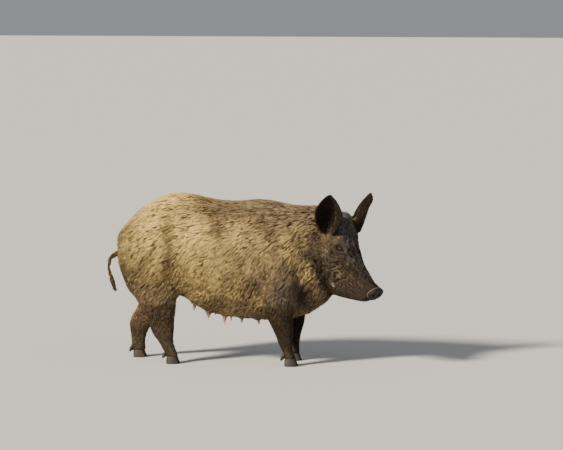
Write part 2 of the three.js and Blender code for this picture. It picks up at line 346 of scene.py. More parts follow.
class BoarStageSettings(bpy.types.PropertyGroup):
    """Floor, lights and camera."""

    turn: bpy.props.FloatProperty(
        name="Turn", description="Camera's turn around the animal", default=math.radians(10), unit="ROTATION"
    )
    height_angle: bpy.props.FloatProperty(
        name="Height", description="Camera's angle above level", default=math.radians(5), unit="ROTATION"
    )
    distance: length("Distance", "Camera's distance", 14.0)
    view_width: length("View width", "Width of what the camera sees at the animal", 2.618)
    key_strength: bpy.props.FloatProperty(
        name="Key light", description="Strength of the main light", default=8.5, min=0
    )
    floor_colour: colour("Floor", "Colour of the floor", (0.60, 0.59, 0.575))


# ---- The skin ----
OVERLAP = 0.0006  # how far the solids are swollen so that their thin gaps close
EAR_SWELL = 0.0012  # the same for the thin ears
SAMPLE_SPACING = 0.006  # between the points that tell one region from the next
THIN_SHARE = 0.26  # of the skin's faces that are kept where it is plain


def add_swollen(target, node):
    """Adds a solid to the mesh being gathered, a little swollen."""
    own = bmesh.new()
    own.from_mesh(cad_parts[node].data)
    bmesh.ops.remove_doubles(own, verts=own.verts, dist=1e-5)
    own.normal_update()
    swell = EAR_SWELL if node in EARS else OVERLAP
    for vert in own.verts:
        vert.co += vert.normal * swell
    held = bpy.data.meshes.new("held")
    own.to_mesh(held)
    own.free()
    target.from_mesh(held)
    bpy.data.meshes.remove(held)


def with_modifier(mesh, kind, keep=None, **settings):
    """A copy of a mesh as it is after one modifier, which does less where `keep` is near 1."""
    holder = bpy.data.objects.new("holder", mesh)
    bpy.context.scene.collection.objects.link(holder)
    if keep is not None:
        group = holder.vertex_groups.new(name="thin")
        for level in np.unique(np.round(keep, 1)):
            chosen = np.flatnonzero(np.round(keep, 1) == level)
            group.add(chosen.tolist(), float(1 - level), "REPLACE")
        settings["vertex_group"] = group.name
    modifier = holder.modifiers.new("shape", kind)
    for key, value in settings.items():
        setattr(modifier, key, value)
    shaped = holder.evaluated_get(bpy.context.evaluated_depsgraph_get())
    made = bpy.data.meshes.new_from_object(shaped)
    bpy.data.objects.remove(holder)
    return made


def remeshed(nodes, grain):
    """One closed mesh around several overlapping solids."""
    gathered = bmesh.new()
    for node in nodes:
        add_swollen(gathered, node)
    mesh = bpy.data.meshes.new("gathered")
    gathered.to_mesh(mesh)
    gathered.free()
    made = with_modifier(mesh, "REMESH", mode="VOXEL", voxel_size=grain, adaptivity=0)
    bpy.data.meshes.remove(mesh)
    return made


def inside_triangles(rng, number):
    """Random shares of a triangle's second and third corners."""
    u, v = rng.random(number), rng.random(number)
    flip = u + v > 1
    u[flip], v[flip] = 1 - u[flip], 1 - v[flip]
    return u, v


def surface_samples(node, spacing):
    """Points spread evenly over a solid."""
    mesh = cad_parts[node].data
    points, triangles = mesh_points(mesh), mesh_triangles(mesh)
    a, b, c = (points[triangles[:, i]] for i in range(3))
    areas = np.linalg.norm(np.cross(b - a, c - a), axis=1) / 2
    numbers = np.ceil(areas / spacing**2).astype(int) + 1
    which = np.repeat(np.arange(len(triangles)), numbers)
    u, v = inside_triangles(np.random.default_rng(3), len(which))
    return a[which] + u[:, None] * (b - a)[which] + v[:, None] * (c - a)[which]


def region_shares(points, web):
    """For every region, how much each vertex belongs to it, smoothly from 0 to 1."""
    samples, labels = [], []
    for label, nodes in enumerate(REGIONS.values()):
        for node in nodes:
            found = surface_samples(node, SAMPLE_SPACING)
            samples.append(found)
            labels += [label] * len(found)
    samples = np.vstack(samples)
    tree = KDTree(len(samples))
    for i, sample in enumerate(samples):
        tree.insert(sample, i)
    tree.balance()
    nearest = np.array([labels[tree.find(point)[1]] for point in points])
    shares = (nearest[:, None] == np.arange(len(REGIONS))).astype(float)
    shares = web.smooth(shares, 0.5, 30)
    return {name: shares[:, i] for i, name in enumerate(REGIONS)}


def round_teats(points, aside):
    """For each teat, how far the points are from it on the level, and how high the belly is over it."""
    for x, belly in TEATS:
        for side in SIDES.values():
            yield np.hypot(points[:, 0] - x, points[:, 1] - side * aside), belly


def teat_swelling(points):
    """How much fuller the teats are at their roots."""
    push = np.zeros(len(points))
    for away, belly in round_teats(points, 0.077):
        push = np.maximum(push, 0.0052 * bump(away, 0, 0.028) * bump(points[:, 2], belly - 0.001, 0.026))
    return push


def add_coarse(points, regions):
    """Adds where the long coat of the body lies, and where the short hair of the face does."""
    back, rise, left = head_coordinates(points)
    start = 0.305 + 0.085 * smoothstep(-0.075, -0.020, rise) * smoothstep(0.085, 0.055, np.abs(left))
    nape = smoothstep(0, 0.065, back - start - 0.25 * np.clip(-0.10 - rise, 0, 0.1))
    regions["coarse"] = regions["trunk"] + regions["neck"] + regions["head"] * nape
    regions["face"] = regions["head"] * (1 - nape)
    return regions


def teat_share(points):
    """1 on the teats, 0 on the belly around them."""
    share = np.zeros(len(points))
    for away, belly in round_teats(points, 0.079):
        under = smoothstep(belly + 0.006, belly - 0.012, points[:, 2])
        share = np.maximum(share, bump(away, 0, 0.021) * under)
    return share


def from_eyes(points):
    """How far each point is from the middle of the nearer eye."""
    middles = [np.array(on_head(EYE_BACK, EYE_RISE, side * EYE_ASIDE)) for side in SIDES.values()]
    return np.min([np.linalg.norm(points - middle, axis=1) for middle in middles], axis=0)


def near_eye(points):
    """1 close round both eyes, 0 elsewhere."""
    return smoothstep(0.048, 0.026, from_eyes(points))


def coat_depth(points, regions):
    """How deep the skin lies under the tips of the hair."""
    height = points[:, 2]
    body = 0.0100 + 0.0050 * smoothstep(0.55, 0.74, height) - 0.0030 * smoothstep(0.32, 0.2, height)
    back, rise, _ = head_coordinates(points)
    jowl = smoothstep(0.10, 0.20, back) * smoothstep(-0.10, -0.17, rise)
    head = 0.0032 + 0.0065 * jowl + 0.0065 * smoothstep(0.33, 0.40, back)
    head *= 1 - 0.6 * smoothstep(0.10, 0.03, back)
    head = head * (1 - near_eye(points)) + 0.0008 * near_eye(points)
    leg = 0.0022 + 0.007 * smoothstep(0.12, 0.30, height)
    depth = (
        regions["trunk"] * body
        + regions["neck"] * 0.0125
        + regions["head"] * head
        + regions["disc"] * 0.0008
        + regions["ear"] * 0.0024
        + regions["leg"] * leg
        + regions["tail"] * 0.0032
    )
    return depth * (1 - 0.9 * teat_share(points))


def smoothing_shares(points, regions):
    """How strongly each vertex is drawn to its neighbours in every round of smoothing."""
    share = (
        regions["trunk"] * 0.6
        + regions["neck"] * 0.6
        + regions["head"] * 0.10
        + regions["disc"] * 0.012
        + regions["ear"] * 0.02
        + regions["leg"] * 0.09
        + regions["tail"] * 0.03
    )
    return share * (1 - 0.97 * teat_share(points)) + 0.004


def eye_frame(side):
    """The eye's middle and its directions outwards, along the slit to its inner corner, and across."""
    middle = on_head(EYE_BACK, EYE_RISE, side * EYE_ASIDE)
    outward = (HEAD_LEFT * side * 0.80 + FACE_UP * 0.56 + MUZZLE_AXIS * 0.16).normalized()
    along = MUZZLE_AXIS * 0.79 + FACE_UP * 0.61
    along = (along - outward * along.dot(outward)).normalized()
    across = outward.cross(along) * side
    return np.array(middle), np.array(outward), np.array(along), np.array(across)


def lid_places(points, side):
    """How far each point is out from an eye, along its slit, across it, and outside the slit's edge."""
    middle, outward, along, across = eye_frame(side)
    away = points - middle
    out, u, w = away @ outward, away @ along, away @ across
    slit = 0.0041 * np.clip(1 - ((u - 0.001) / 0.0125) ** 2, 0, None)
    return out, u, w, np.abs(w) - slit


def lid_lines(points):
    """The bare edges of the lids, the painted shade of the lids and their creases round the slit, and the
    painted highlight on the raised fold before it.
    """
    margin, lid_shade, fold = np.zeros((3, len(points)))
    for side in SIDES.values():
        out, u, w, lid = lid_places(points, side)
        near = (out > -0.016) * smoothstep(0.040, 0.034, np.hypot(u, w))
        bare = near * smoothstep(0.0036, 0.0012, lid) * smoothstep(0.0165, 0.0140, np.abs(u))
        margin = np.maximum(margin, bare)
        ring = np.hypot(u / 0.0210, w / 0.0095)
        shade = np.maximum(0.55 * smoothstep(1.15, 0.75, ring), bump(ring, 1.12, 0.22))
        lid_shade = np.maximum(lid_shade, near * shade)
        before = smoothstep(-0.006, 0.012, u + np.abs(w) * 0.3)
        fold = np.maximum(fold, near * bump(ring, 1.50, 0.26) * before)
    return margin, lid_shade, fold


def open_eyelids(points):
    """Draws the skin over the eyeball as two lids, and opens a slit between them."""
    for side in SIDES.values():
        outward = eye_frame(side)[1]
        out, u, w, lid = lid_places(points, side)
        reach = np.hypot(u, w)
        near = (reach < 0.036) & (out > -0.006)
        ball = np.sqrt(EYE_RADIUS**2 - np.minimum(reach, EYE_RADIUS * 0.96) ** 2)
        thick = 0.0016 + 0.0012 * bump(lid, 0.0016, 0.0024) - 0.0008 * bump(lid, 0.0062, 0.0026)
        round_lid = np.hypot(u * 0.78, w * 1.1)
        ring = np.hypot(u / 0.0210, w / 0.0095)
        blend = smoothstep(0.0085, 0.0165, round_lid)
        level = out + 0.0030 * bump(ring, 1.60, 0.45) - 0.0028 * bump(ring, 1.15, 0.30)
        target = (ball + thick) * (1 - blend) + level * blend
        target = np.where(lid < 0, ball - 0.0045, target)
        target = np.where(reach > EYE_RADIUS * 0.97, np.maximum(target, out * blend), target)
        points[near] += (outward * (target - out)[:, None])[near]
    return points


def behind_jowl(back, rise):
    """How far a point is behind the line where the cheek ends and the neck begins."""
    return (back - 0.238 - 1.5 * (rise + 0.15)) / 1.8


def face_folds(points):
    """The wrinkles of the cheek: their height from -1 in a valley to 1 on a ridge, and where they are."""
    back, rise, left = head_coordinates(points)
    side = smoothstep(0.020, 0.042, np.abs(left))
    warp = 1.3 * waves(points, 0.060, 22) + 0.9 * waves(points, 0.030, 23)
    from_eye = np.hypot((back - EYE_BACK) * 0.95, (rise - EYE_RISE) * 1.05)
    ring = np.abs(np.sin(from_eye * math.pi / 0.0150 + 0.55 * warp))
    across = np.abs(np.sin((0.97 * back + 0.22 * rise + 0.2 * left) * math.pi / 0.0175 + warp))
    round_eye = smoothstep(-0.002, -0.016, rise - EYE_RISE) * bump(from_eye, 0.042, 0.024)
    cheek = bump(back, 0.185, 0.110) * bump(rise, -0.088, 0.075) * (1 - round_eye)
    height = (ring * round_eye + across * cheek) / np.maximum(round_eye + cheek, 1e-6)
    broken = smoothstep(-1.5, 0.0, waves(points, 0.034, 25))
    return 2 * height**0.7 - 1, side * broken * np.clip(1.3 * (round_eye + cheek), 0, 1)


def ear_hollow(points):
    """1 deep in the cup of each ear and at its bottom, 0 elsewhere."""
    along, across, facing = ear_places(points)
    inside = smoothstep(0.036, 0.027, np.abs(across)) * smoothstep(-0.05, 0.02, along)
    inside *= smoothstep(0.95, 0.80, along)
    return inside * smoothstep(-0.085, -0.055, facing) * smoothstep(0.01, -0.012, facing)


def round_left_ear(points, normals, regions):
    """The left ear's tip is blunter than the right one's and bent back a little."""
    along, _, facing = ear_places(points)
    left = head_coordinates(points)[2]
    own = regions["ear"] * smoothstep(0, 0.02, left)
    margin = bump(along, 0.80, 0.20) * smoothstep(-0.022, -0.005, facing)
    end = own * smoothstep(0.80, 1.0, along)
    bent = 0.008 * own * margin - 0.010 * end
    thick = own * 0.0050 * smoothstep(0.76, 0.93, along)
    open_to = np.array(AHEAD * math.cos(EAR_FACING) + HEAD_LEFT * math.sin(EAR_FACING))
    points = points + open_to * bent[:, None] + normals * thick[:, None]
    return points - np.array(UP) * (0.010 * end)[:, None]


def sculpt_head(points, normals, regions):
    """Brow, cheek folds, nasal bridge, lips and nostrils."""
    back, rise, left = head_coordinates(points)
    head = np.clip(regions["head"] + regions["disc"], 0, 1)
    aside = np.abs(left)
    side = smoothstep(0.020, 0.042, aside)
    push = np.zeros(len(points))
    push += 0.0058 * bump(back, 0.308, 0.030) * bump(aside, 0.052, 0.026) * smoothstep(-0.04, 0.0, rise)
    push += 0.0050 * bump(back, 0.232, 0.06) * bump(rise, -0.070, 0.030) * side
    push -= 0.0055 * bump(back, 0.175, 0.07) * bump(rise, -0.036, 0.026) * side
    push += 0.0028 * bump(back, 0.09, 0.07) * bump(rise, -0.014, 0.016) * smoothstep(0.016, 0.030, aside)
    push -= 0.0030 * bump(aside, 0, 0.026) * bump(back, 0.20, 0.13) * smoothstep(-0.03, 0.0, rise)
    folds, folded = face_folds(points)
    push += 0.0050 * folds * folded
    fine = waves(np.stack([back, rise * 0.5, left * 0.5], axis=1), 0.012, 24)
    push += 0.0011 * fine * bump(back, 0.15, 0.12) * side
    push -= 0.0022 * np.exp(-((behind_jowl(back, rise) / 0.016) ** 2)) * bump(rise, -0.150, 0.080) * side
    rumpled = np.cos(back * 2 * math.pi / 0.0115)
    push += 0.0010 * bump(back, 0.040, 0.040) * smoothstep(-0.05, -0.01, rise) * rumpled
    upper = np.clip(rise + 0.02, 0, 0.01) / 0.01
    push += upper * (0.0010 * bump(back, 0.016, 0.007) - 0.0016 * bump(back, 0.0275, 0.007))
    lips = rise - (MOUTH_FRONT[1] + MOUTH_SLOPE * (back - MOUTH_FRONT[0]))
    lips += 0.010 * smoothstep(0.10, 0.132, back)
    mouth = smoothstep(MOUTH_CORNER, MOUTH_CORNER - 0.02, back) * smoothstep(-0.012, 0.004, back)
    push -= 0.0065 * mouth * np.exp(-((lips / 0.0028) ** 2))
    push += 0.0020 * mouth * bump(lips, 0.0085, 0.007) + 0.0018 * mouth * bump(lips, -0.008, 0.006)
    points = points + normals * (push * head * (1 - 0.75 * near_eye(points)))[:, None]
    off = aside - NOSTRIL_ASIDE
    hole = np.hypot(off / 0.0075, (rise + 0.001 + 0.25 * off) / 0.0098)
    deep = smoothstep(1.0, 0.55, hole) * smoothstep(0.022, 0.010, back) * regions["disc"]
    points = points - np.array(MUZZLE_AXIS) * (0.009 * deep)[:, None]
    along, across, _ = ear_places(points)
    canal = regions["head"] * smoothstep(0.026, 0.012, np.abs(across)) * bump(along, 0.14, 0.20)
    canal *= smoothstep(-0.1, 0.35, normals @ np.array(AHEAD * 0.6 + UP * 0.8))
    points = points - np.array(UP * 0.75 + AHEAD * 0.5) * (0.020 * canal)[:, None]
    tip = head * bump(back, 0, 0.080) * smoothstep(-0.012, 0.030, rise)
    points = points + np.array(UP) * (0.007 * tip)[:, None]
    return open_eyelids(round_left_ear(points, normals, regions))


def crease(across, width, depth, along, middle, reach):
    """A groove `width` wide where `across` is 0, with soft lips, fading out along its length."""
    groove = -np.exp(-((across / width) ** 2)) + 0.35 * np.exp(-((np.abs(across) - 2.2 * width) / width) ** 2)
    return depth * groove * bump(along, middle, reach)


def sculpt_body(points, normals, regions):
    """Folds behind and before the elbow and at the flank, shoulder blade and soft unevenness."""
    x, y, z = points.T
    body = np.clip(regions["trunk"] + regions["neck"] + 0.6 * regions["leg"], 0, 1) * (1 - teat_share(points))
    side = smoothstep(0.06, 0.12, np.abs(y))
    push = 0.0026 * waves(points, 0.16, 5) + 0.0014 * waves(points, 0.07, 6)
    push += side * crease(x - 0.118 + 1.15 * (z - 0.305), 0.014, 0.015, z, 0.33, 0.10)
    push += side * crease(x - 0.275 - 0.15 * (z - 0.33), 0.016, 0.015, z, 0.34, 0.10)
    push += side * crease(x - 0.020 - 0.45 * (z - 0.52), 0.036, 0.006, z, 0.54, 0.17)
    push += side * crease(x + 0.318 - 0.25 * (z - 0.45), 0.030, 0.011, z, 0.45, 0.15)
    push += side * crease(x + 0.245 - 0.50 * (z - 0.33), 0.014, 0.013, z, 0.33, 0.08)
    push += side * crease(z - 0.300 + 0.25 * (x + 0.1), 0.020, 0.004, x, -0.05, 0.16)
    ribs = bump(x, -0.06, 0.14) * bump(z, 0.47, 0.13) * side
    push += 0.0018 * ribs * np.sin(x * 2 * math.pi / 0.052)
    tendon = regions["leg"] * bump(z, 0.11, 0.07)
    push = push * body - 0.0015 * tendon * np.cos(4 * np.arctan2(y, x)) + teat_swelling(points)
    points = points + normals * push[:, None]
    foot = regions["leg"] * smoothstep(0.052, 0.037, z)
    points[:, 2] -= 0.0045 * foot
    return points


def refined(mesh, centres, reach):
    """Splits the faces near some points into finer ones."""
    fine = bmesh.new()
    fine.from_mesh(mesh)
    for centre, radius in centres:
        edges = [e for e in fine.edges if (e.verts[0].co - centre).length < radius * reach]
        bmesh.ops.subdivide_edges(fine, edges=edges, cuts=1, use_grid_fill=True)
    bmesh.ops.triangulate(fine, faces=fine.faces)
    made = bpy.data.meshes.new(mesh.name)
    fine.to_mesh(made)
    fine.free()
    return made


class Skin:
    """The finished skin's points, faces, normals and regions, which the coat grows from."""

    points = triangles = normals = regions = depth = None


def make_skin_mesh(grain):
    rough = remeshed(FLESH + [f"eye_{side}" for side in SIDES], grain)
    points, edges = mesh_points(rough), mesh_edges(rough)
    web = Web(edges, len(points))
    regions = region_shares(points, web)
    triangles = mesh_triangles(rough)
    points = web.smooth(points, smoothing_shares(points, regions), 110)
    depth = web.smooth(coat_depth(points, regions), 0.5, 12)
    points = points - vertex_normals(points, triangles) * depth[:, None]
    points = web.smooth(points, np.minimum(smoothing_shares(points, regions), 0.3), 6)
    reshape(rough, points)
    for name, share in regions.items():
        store(rough, f"region_{name}", share)
    keep = 0.9 * regions["head"] + regions["disc"] + 0.7 * regions["ear"] + 0.4 * regions["leg"]
    keep = np.maximum(np.clip(keep, 0, 1), teat_share(points))
    made = with_modifier(rough, "DECIMATE", keep, ratio=THIN_SHARE, vertex_group_factor=1.0)
    eyes = [(Vector(eye_frame(side)[0]), 0.030) for side in SIDES.values()]
    nose = [(on_head(0.0, -0.006, 0), 0.046)]
    made = refined(made, [*eyes, *nose], 1.0)
    made = refined(made, [(centre, 0.022) for centre, _ in eyes], 1.0)
    return made


def read_regions(mesh):
    found = {}
    for name in REGIONS:
        values = np.empty(len(mesh.vertices), np.float32)
        mesh.attributes[f"region_{name}"].data.foreach_get("value", values)
        found[name] = values.astype(float)
    return found


def ear_line(side):
    """Where an ear starts and where it ends."""
    return [near_poll(ahead, side * aside, height) for ahead, aside, height in (EAR_BASE, EAR_TIP)]


def ear_places(points):
    """How far along each ear a point is, across it, and how far towards its open side."""
    left = head_coordinates(points)[2]
    along, across, facing = np.zeros(len(points)), np.zeros(len(points)), np.zeros(len(points))
    for side in SIDES.values():
        base, tip = ear_line(side)
        run = (tip - base).normalized()
        open_to = AHEAD * math.cos(EAR_FACING) + HEAD_LEFT * side * math.sin(EAR_FACING)
        open_to = (open_to - run * open_to.dot(run)).normalized()
        inward = run.cross(open_to) * side
        own = left * side > 0
        away = points[own] - np.array(base)
        along[own] = away @ np.array(run) / (tip - base).length
        across[own] = away @ np.array(inward)
        facing[own] = away @ np.array(open_to)
    return along, across, facing


PATCHES = [  # middle's x and z, reach in x and z, how much paler (darker where below 0)
    # painted shade in the hollow before the thigh:
    (-0.330, 0.55, 0.045, 0.23, -0.55),  # hollow before the thigh
    (-0.220, 0.58, 0.110, 0.17, 0.30),  # pale flank
    (-0.095, 0.63, 0.055, 0.09, -0.60),  # two dusky patches under the spine
    (-0.010, 0.69, 0.060, 0.06, -0.26),
    (0.190, 0.61, 0.190, 0.18, -0.37),  # shoulder
    (-0.190, 0.325, 0.090, 0.05, 0.50),  # belly before the udder
    (0.090, 0.40, 0.080, 0.06, -0.24),  # behind the elbow
    # painted light on the throat, where the head shades it:
    (0.345, 0.335, 0.050, 0.06, 0.40),  # throat
]


def markings(points, normals, regions):
    """Where the coat and hide are pale, dark, slate, olive, ruddy or bare, with painted light and shade among
    them: the same for both.
    """
    x, y, z = points.T
    back, rise, left = head_coordinates(points)
    coarse, face, leg = regions["coarse"], regions["face"], regions["leg"]
    side = smoothstep(0.05, 0.10, np.abs(y))
    aside = np.abs(left)
    patches = waves(points, 0.20, 11) * 0.20 + waves(points, 0.085, 12) * 0.16
    # Paler higher up, and paler still on the rump's top: partly the coat's own paler back, partly painted
    # sunlight.
    pale = 0.15 + 0.48 * smoothstep(0.28, 0.60, z) + patches - 0.30 * smoothstep(-0.04, 0.26, x)
    pale += 0.60 * bump(x, -0.40, 0.22) * smoothstep(0.50, 0.74, z)
    pale -= 0.66 * smoothstep(-0.34, -0.20, x) * smoothstep(0.650, 0.715, z)
    # Painted shade on the rear of the rump.
    pale -= 0.62 * smoothstep(-0.48, -0.63, x) * smoothstep(0.68, 0.56, z)
    for middle, height, wide, tall, change in PATCHES:
        pale += change * bump(x, middle, wide) * bump(z, height, tall) * side
    # Pale patch on the neck behind the cheek: partly paler hair, partly painted light where the neck turns
    # away from the key light.
    pale += 0.95 * bump(x - 0.2 * z, 0.225, 0.080) * bump(z, 0.435, 0.090) * side
    # Painted highlight on the ridge of the fold behind the elbow.
    pale += 0.75 * bump(x + 0.46 * (z - 0.293), 0.097, 0.026) * bump(z, 0.300, 0.065) * side
    # The paler brow and upper cheek are partly paler hair, partly painted highlight.
    brow = face * bump(back, 0.318, 0.042) * bump(aside, 0.062, 0.040)
    cheek = face * bump(back, 0.305, 0.05) * bump(rise, -0.085, 0.055)
    spot = face * bump(back, 0.165, 0.021) * bump(rise, -0.148, 0.018) * smoothstep(0.03, 0.05, aside)
    folds, folded = face_folds(points)
    pale = coarse * pale + 0.20 * cheek + 0.8 * spot + 0.38 * brow
    # Painted highlight on the ridges of the cheek folds.
    pale += 0.20 * face * folded * smoothstep(0.1, 0.8, folds)
    streaks = waves(combed(points, regions) * [0.38, 1, 1], 0.0115, 61)
    streaks *= face * smoothstep(0.02, 0.10, back) * (1 - near_eye(points))
    pale += 0.16 * np.clip(streaks - 0.15, 0, 1)
    above = smoothstep(0.33, 0.20, z)
    upper_leg = smoothstep(0.42, 0.30, z) * smoothstep(0.07, 0.11, np.abs(y))
    upper_leg *= bump(x, -0.40, 0.22)
    from_arm = np.hypot((x - 0.222) / 0.088, np.clip(z - 0.295, 0, 1) / 0.105)
    arm = side * smoothstep(1.12, 0.80, from_arm) * (1 - leg)
    along, across, _ = ear_places(points)
    hollow = ear_hollow(points)
    toward = normals @ np.array(AHEAD * 0.9 + UP * 0.3)
    rim = bump(across, -0.033 + 0.020 * smoothstep(0.30, 0.0, along), 0.0075)
    rim *= smoothstep(0.66, 0.50, along) * smoothstep(-0.03, 0.03, along) * smoothstep(-0.2, 0.4, toward)
    rim *= 0.55 + 0.9 * smoothstep(-0.4, 0.8, waves(points * [1, 1, 0.35], 0.012, 71))
    dark = np.maximum(regions["ear"] * 0.94, hollow * smoothstep(-0.3, 0.1, toward)) * (1 - 0.85 * rim)
    pale += 0.9 * rim
    dark += regions["ear"] * 0.25 * smoothstep(-0.1, 0.4, toward) * (1 - rim)
    far_shank = smoothstep(-0.44, -0.52, x) * smoothstep(0.12, 0.2, z)
    dark += leg * (0.38 + 0.42 * above) * (1 - 0.28 * smoothstep(-0.2, -0.3, x)) * (1 - 0.75 * far_shank)
    # A darker upper hind leg, and painted shade on the far foreleg.
    dark += 0.16 * upper_leg * (1 - leg) + 0.4 * leg * smoothstep(0.1, 0.2, x) * smoothstep(0.0, 0.06, y)
    dark += 0.80 * coarse * bump(np.hypot(x - 0.345, z - 0.597), 0, 0.062) * side
    # A painted shadow line across the lower neck, and painted shade along the crease before the arm.
    shadow_line_under_neck = bump(z - 0.334 + 0.3 * (x - 0.32), 0, 0.016) * bump(x, 0.33, 0.05)
    crease_shade_before_arm = np.exp(-(((x - 0.275 - 0.15 * (z - 0.33)) / 0.026) ** 2)) * bump(z, 0.34, 0.11)
    dark += 0.52 * arm + coarse * side * (0.45 * shadow_line_under_neck + 0.44 * crease_shade_before_arm)
    dark += 0.34 * face * smoothstep(-0.06, -0.13, rise) * bump(back, 0.19, 0.08) + 0.45 * regions["tail"]
    # Painted shade along the crease behind the jowl.
    shade_behind_jowl = np.exp(-((behind_jowl(back, rise) / 0.012) ** 2)) * bump(rise, -0.150, 0.085)
    dark += 0.06 * regions["head"] * shade_behind_jowl * smoothstep(0.03, 0.06, aside)
    # Painted shade in the valleys of the cheek folds.
    dark += 1.1 * face * folded * smoothstep(0.15, -0.60, folds)
    dark += 0.45 * face * smoothstep(0.060, 0.026, np.hypot(back - 0.248, rise + 0.040)) * (1 - brow)
    # Darker midline of the muzzle before the eyes: partly darker hair, partly painted shade of its top plane.
    muzzle_top_dark_and_shade = smoothstep(-0.05, -0.01, rise) * smoothstep(0.30, 0.22, back)
    dark += 0.16 * face * bump(aside, 0, 0.055) * muzzle_top_dark_and_shade
    dark += 0.75 * np.clip(-streaks - 0.05, 0, 1) + 0.38 * face * smoothstep(0.12, 0.03, back)
    dark += 0.5 * regions["head"] * bump(aside, 0.066, 0.024) * smoothstep(-0.02, 0.02, rise)
    dark *= 1 - 0.8 * spot
    # Dark lid edges, painted shade of the lids and their creases, and a painted highlight on the fold before
    # each eye.
    margin, lid_shade, fold = lid_lines(points)
    dark += face * (0.9 * margin + 0.8 * lid_shade)
    pale += 0.30 * face * fold
    dark *= 1 - 0.7 * face * fold
    # The top plane of the face: slate grey, partly the hair's own and partly painted shade of that plane, and
    # a darker bridge, partly darker hair and partly painted shade.
    beside = aside - 0.014 - 0.032 * smoothstep(0.02, 0.30, back)
    top = smoothstep(0.010, -0.010, beside) * smoothstep(-0.080, -0.012, rise) * smoothstep(0.475, 0.43, back)
    bridge = smoothstep(0.004, -0.008, beside) * smoothstep(-0.05, -0.01, rise)
    dark += 0.46 * face * bridge * smoothstep(0.345, 0.305, back)
    slate = regions["head"] * top * (1 - 0.45 * smoothstep(0.26, 0.12, back))
    slate += 0.15 * face * smoothstep(0.060, 0.026, np.hypot(back - 0.248, rise + 0.040)) * (1 - brow)
    slate += 0.05 * face * smoothstep(0.16, 0.03, back)
    slate += 0.26 * leg + 0.34 * arm + 0.22 * upper_leg * (1 - leg)
    slate += 0.17 * coarse * smoothstep(-0.25, 0.20, x)
    shank = bump(z, 0.24, 0.14) * smoothstep(-0.42, -0.50, x)
    shank += bump(z, 0.34, 0.10) * bump(x, 0.235, 0.06) * side
    ruddy = (leg + coarse) * 0.85 * np.clip(shank, 0, 1)
    ruddy += 0.45 * coarse * bump(x, 0.335, 0.06) * bump(z, 0.60, 0.05) * side
    olive = face + regions["disc"]
    shell = 0.0215 * smoothstep(-0.030, 0.010, rise + 0.3 * aside)
    on_disc = (regions["disc"] + face) * smoothstep(0.0015, -0.0015, back - shell)
    bare = np.maximum(np.maximum(on_disc, teat_share(points)), face * margin)
    # The disc's paler rim, kept to its upper edge: partly paler skin, partly painted highlight.
    disc_rim_and_highlight = bump(back, shell - 0.0010, 0.0026) * bump(back, 0, 0.05)
    disc_rim_and_highlight *= smoothstep(-0.028, 0.004, rise + 0.35 * aside)
    mud = leg * smoothstep(0.16, 0.05, z) * smoothstep(0.1, 0.7, waves(points * [1, 1, 0.45], 0.028, 13))
    found = {"pale": pale, "dark": dark, "slate": slate, "ruddy": ruddy, "olive": olive, "bare": bare}
    found.update({"rim": disc_rim_and_highlight, "mud": mud})
    return {name: np.clip(mask, 0, 1) for name, mask in found.items()}


def combed(points, regions):
    """Coordinates whose first axis runs along the hair."""
    back, rise, left = head_coordinates(points)
    x, y, z = points.T
    head = np.stack([back, left, rise], axis=1)
    leg = np.stack([z, x, y], axis=1)
    body = np.stack([x * 0.8 + z * 0.6, z * 0.8 - x * 0.6, y], axis=1)
    ear = np.stack([z, x, y], axis=1)
    on_face = (regions["face"] + regions["disc"])[:, None]
    on_leg = (regions["leg"] + regions["tail"])[:, None]
    on_ear = regions["ear"][:, None]
    on_body = 1 - np.clip(on_face + on_leg + on_ear, 0, 1)
    return head * on_face + leg * on_leg + ear * on_ear + body * on_body


def store(mesh, name, values):
    kind = "FLOAT" if values.ndim == 1 else "FLOAT_VECTOR"
    layer = mesh.attributes.get(name) or mesh.attributes.new(name, kind, "POINT")
    layer.data.foreach_set("value" if values.ndim == 1 else "vector", values.astype(np.float32).ravel())


def shown(name, mesh, material, slot, *nodes):
    """Puts a mesh in the scene as a piece of the animal."""
    mesh.name = name
    piece = bpy.data.objects.new(name, mesh)
    bpy.context.scene.collection.objects.link(piece)
    piece.data.materials.clear()
    piece.data.materials.append(material)
    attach(piece, "root")
    if nodes:
        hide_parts(*nodes)
    return piece


def blended(first, second, share):
    return tuple(a + (b - a) * share for a, b in zip(first, second))


def coat_colour(nodes, coat):
    """The colours of the markings and of the light and shade painted into them, shared by hide and hair."""
    tone = nodes.mix(nodes.attribute("pale"), coat.brown, coat.buff)
    tone = nodes.mix(nodes.attribute("olive"), tone, coat.olive)
    tone = nodes.mix(nodes.attribute("pale") * nodes.attribute("olive"), tone, coat.sand)
    tone = nodes.mix(nodes.attribute("ruddy"), tone, coat.ruddy)
    tone = nodes.mix(nodes.attribute("slate"), tone, coat.slate)
    return nodes.mix(nodes.attribute("dark"), tone, coat.dark)


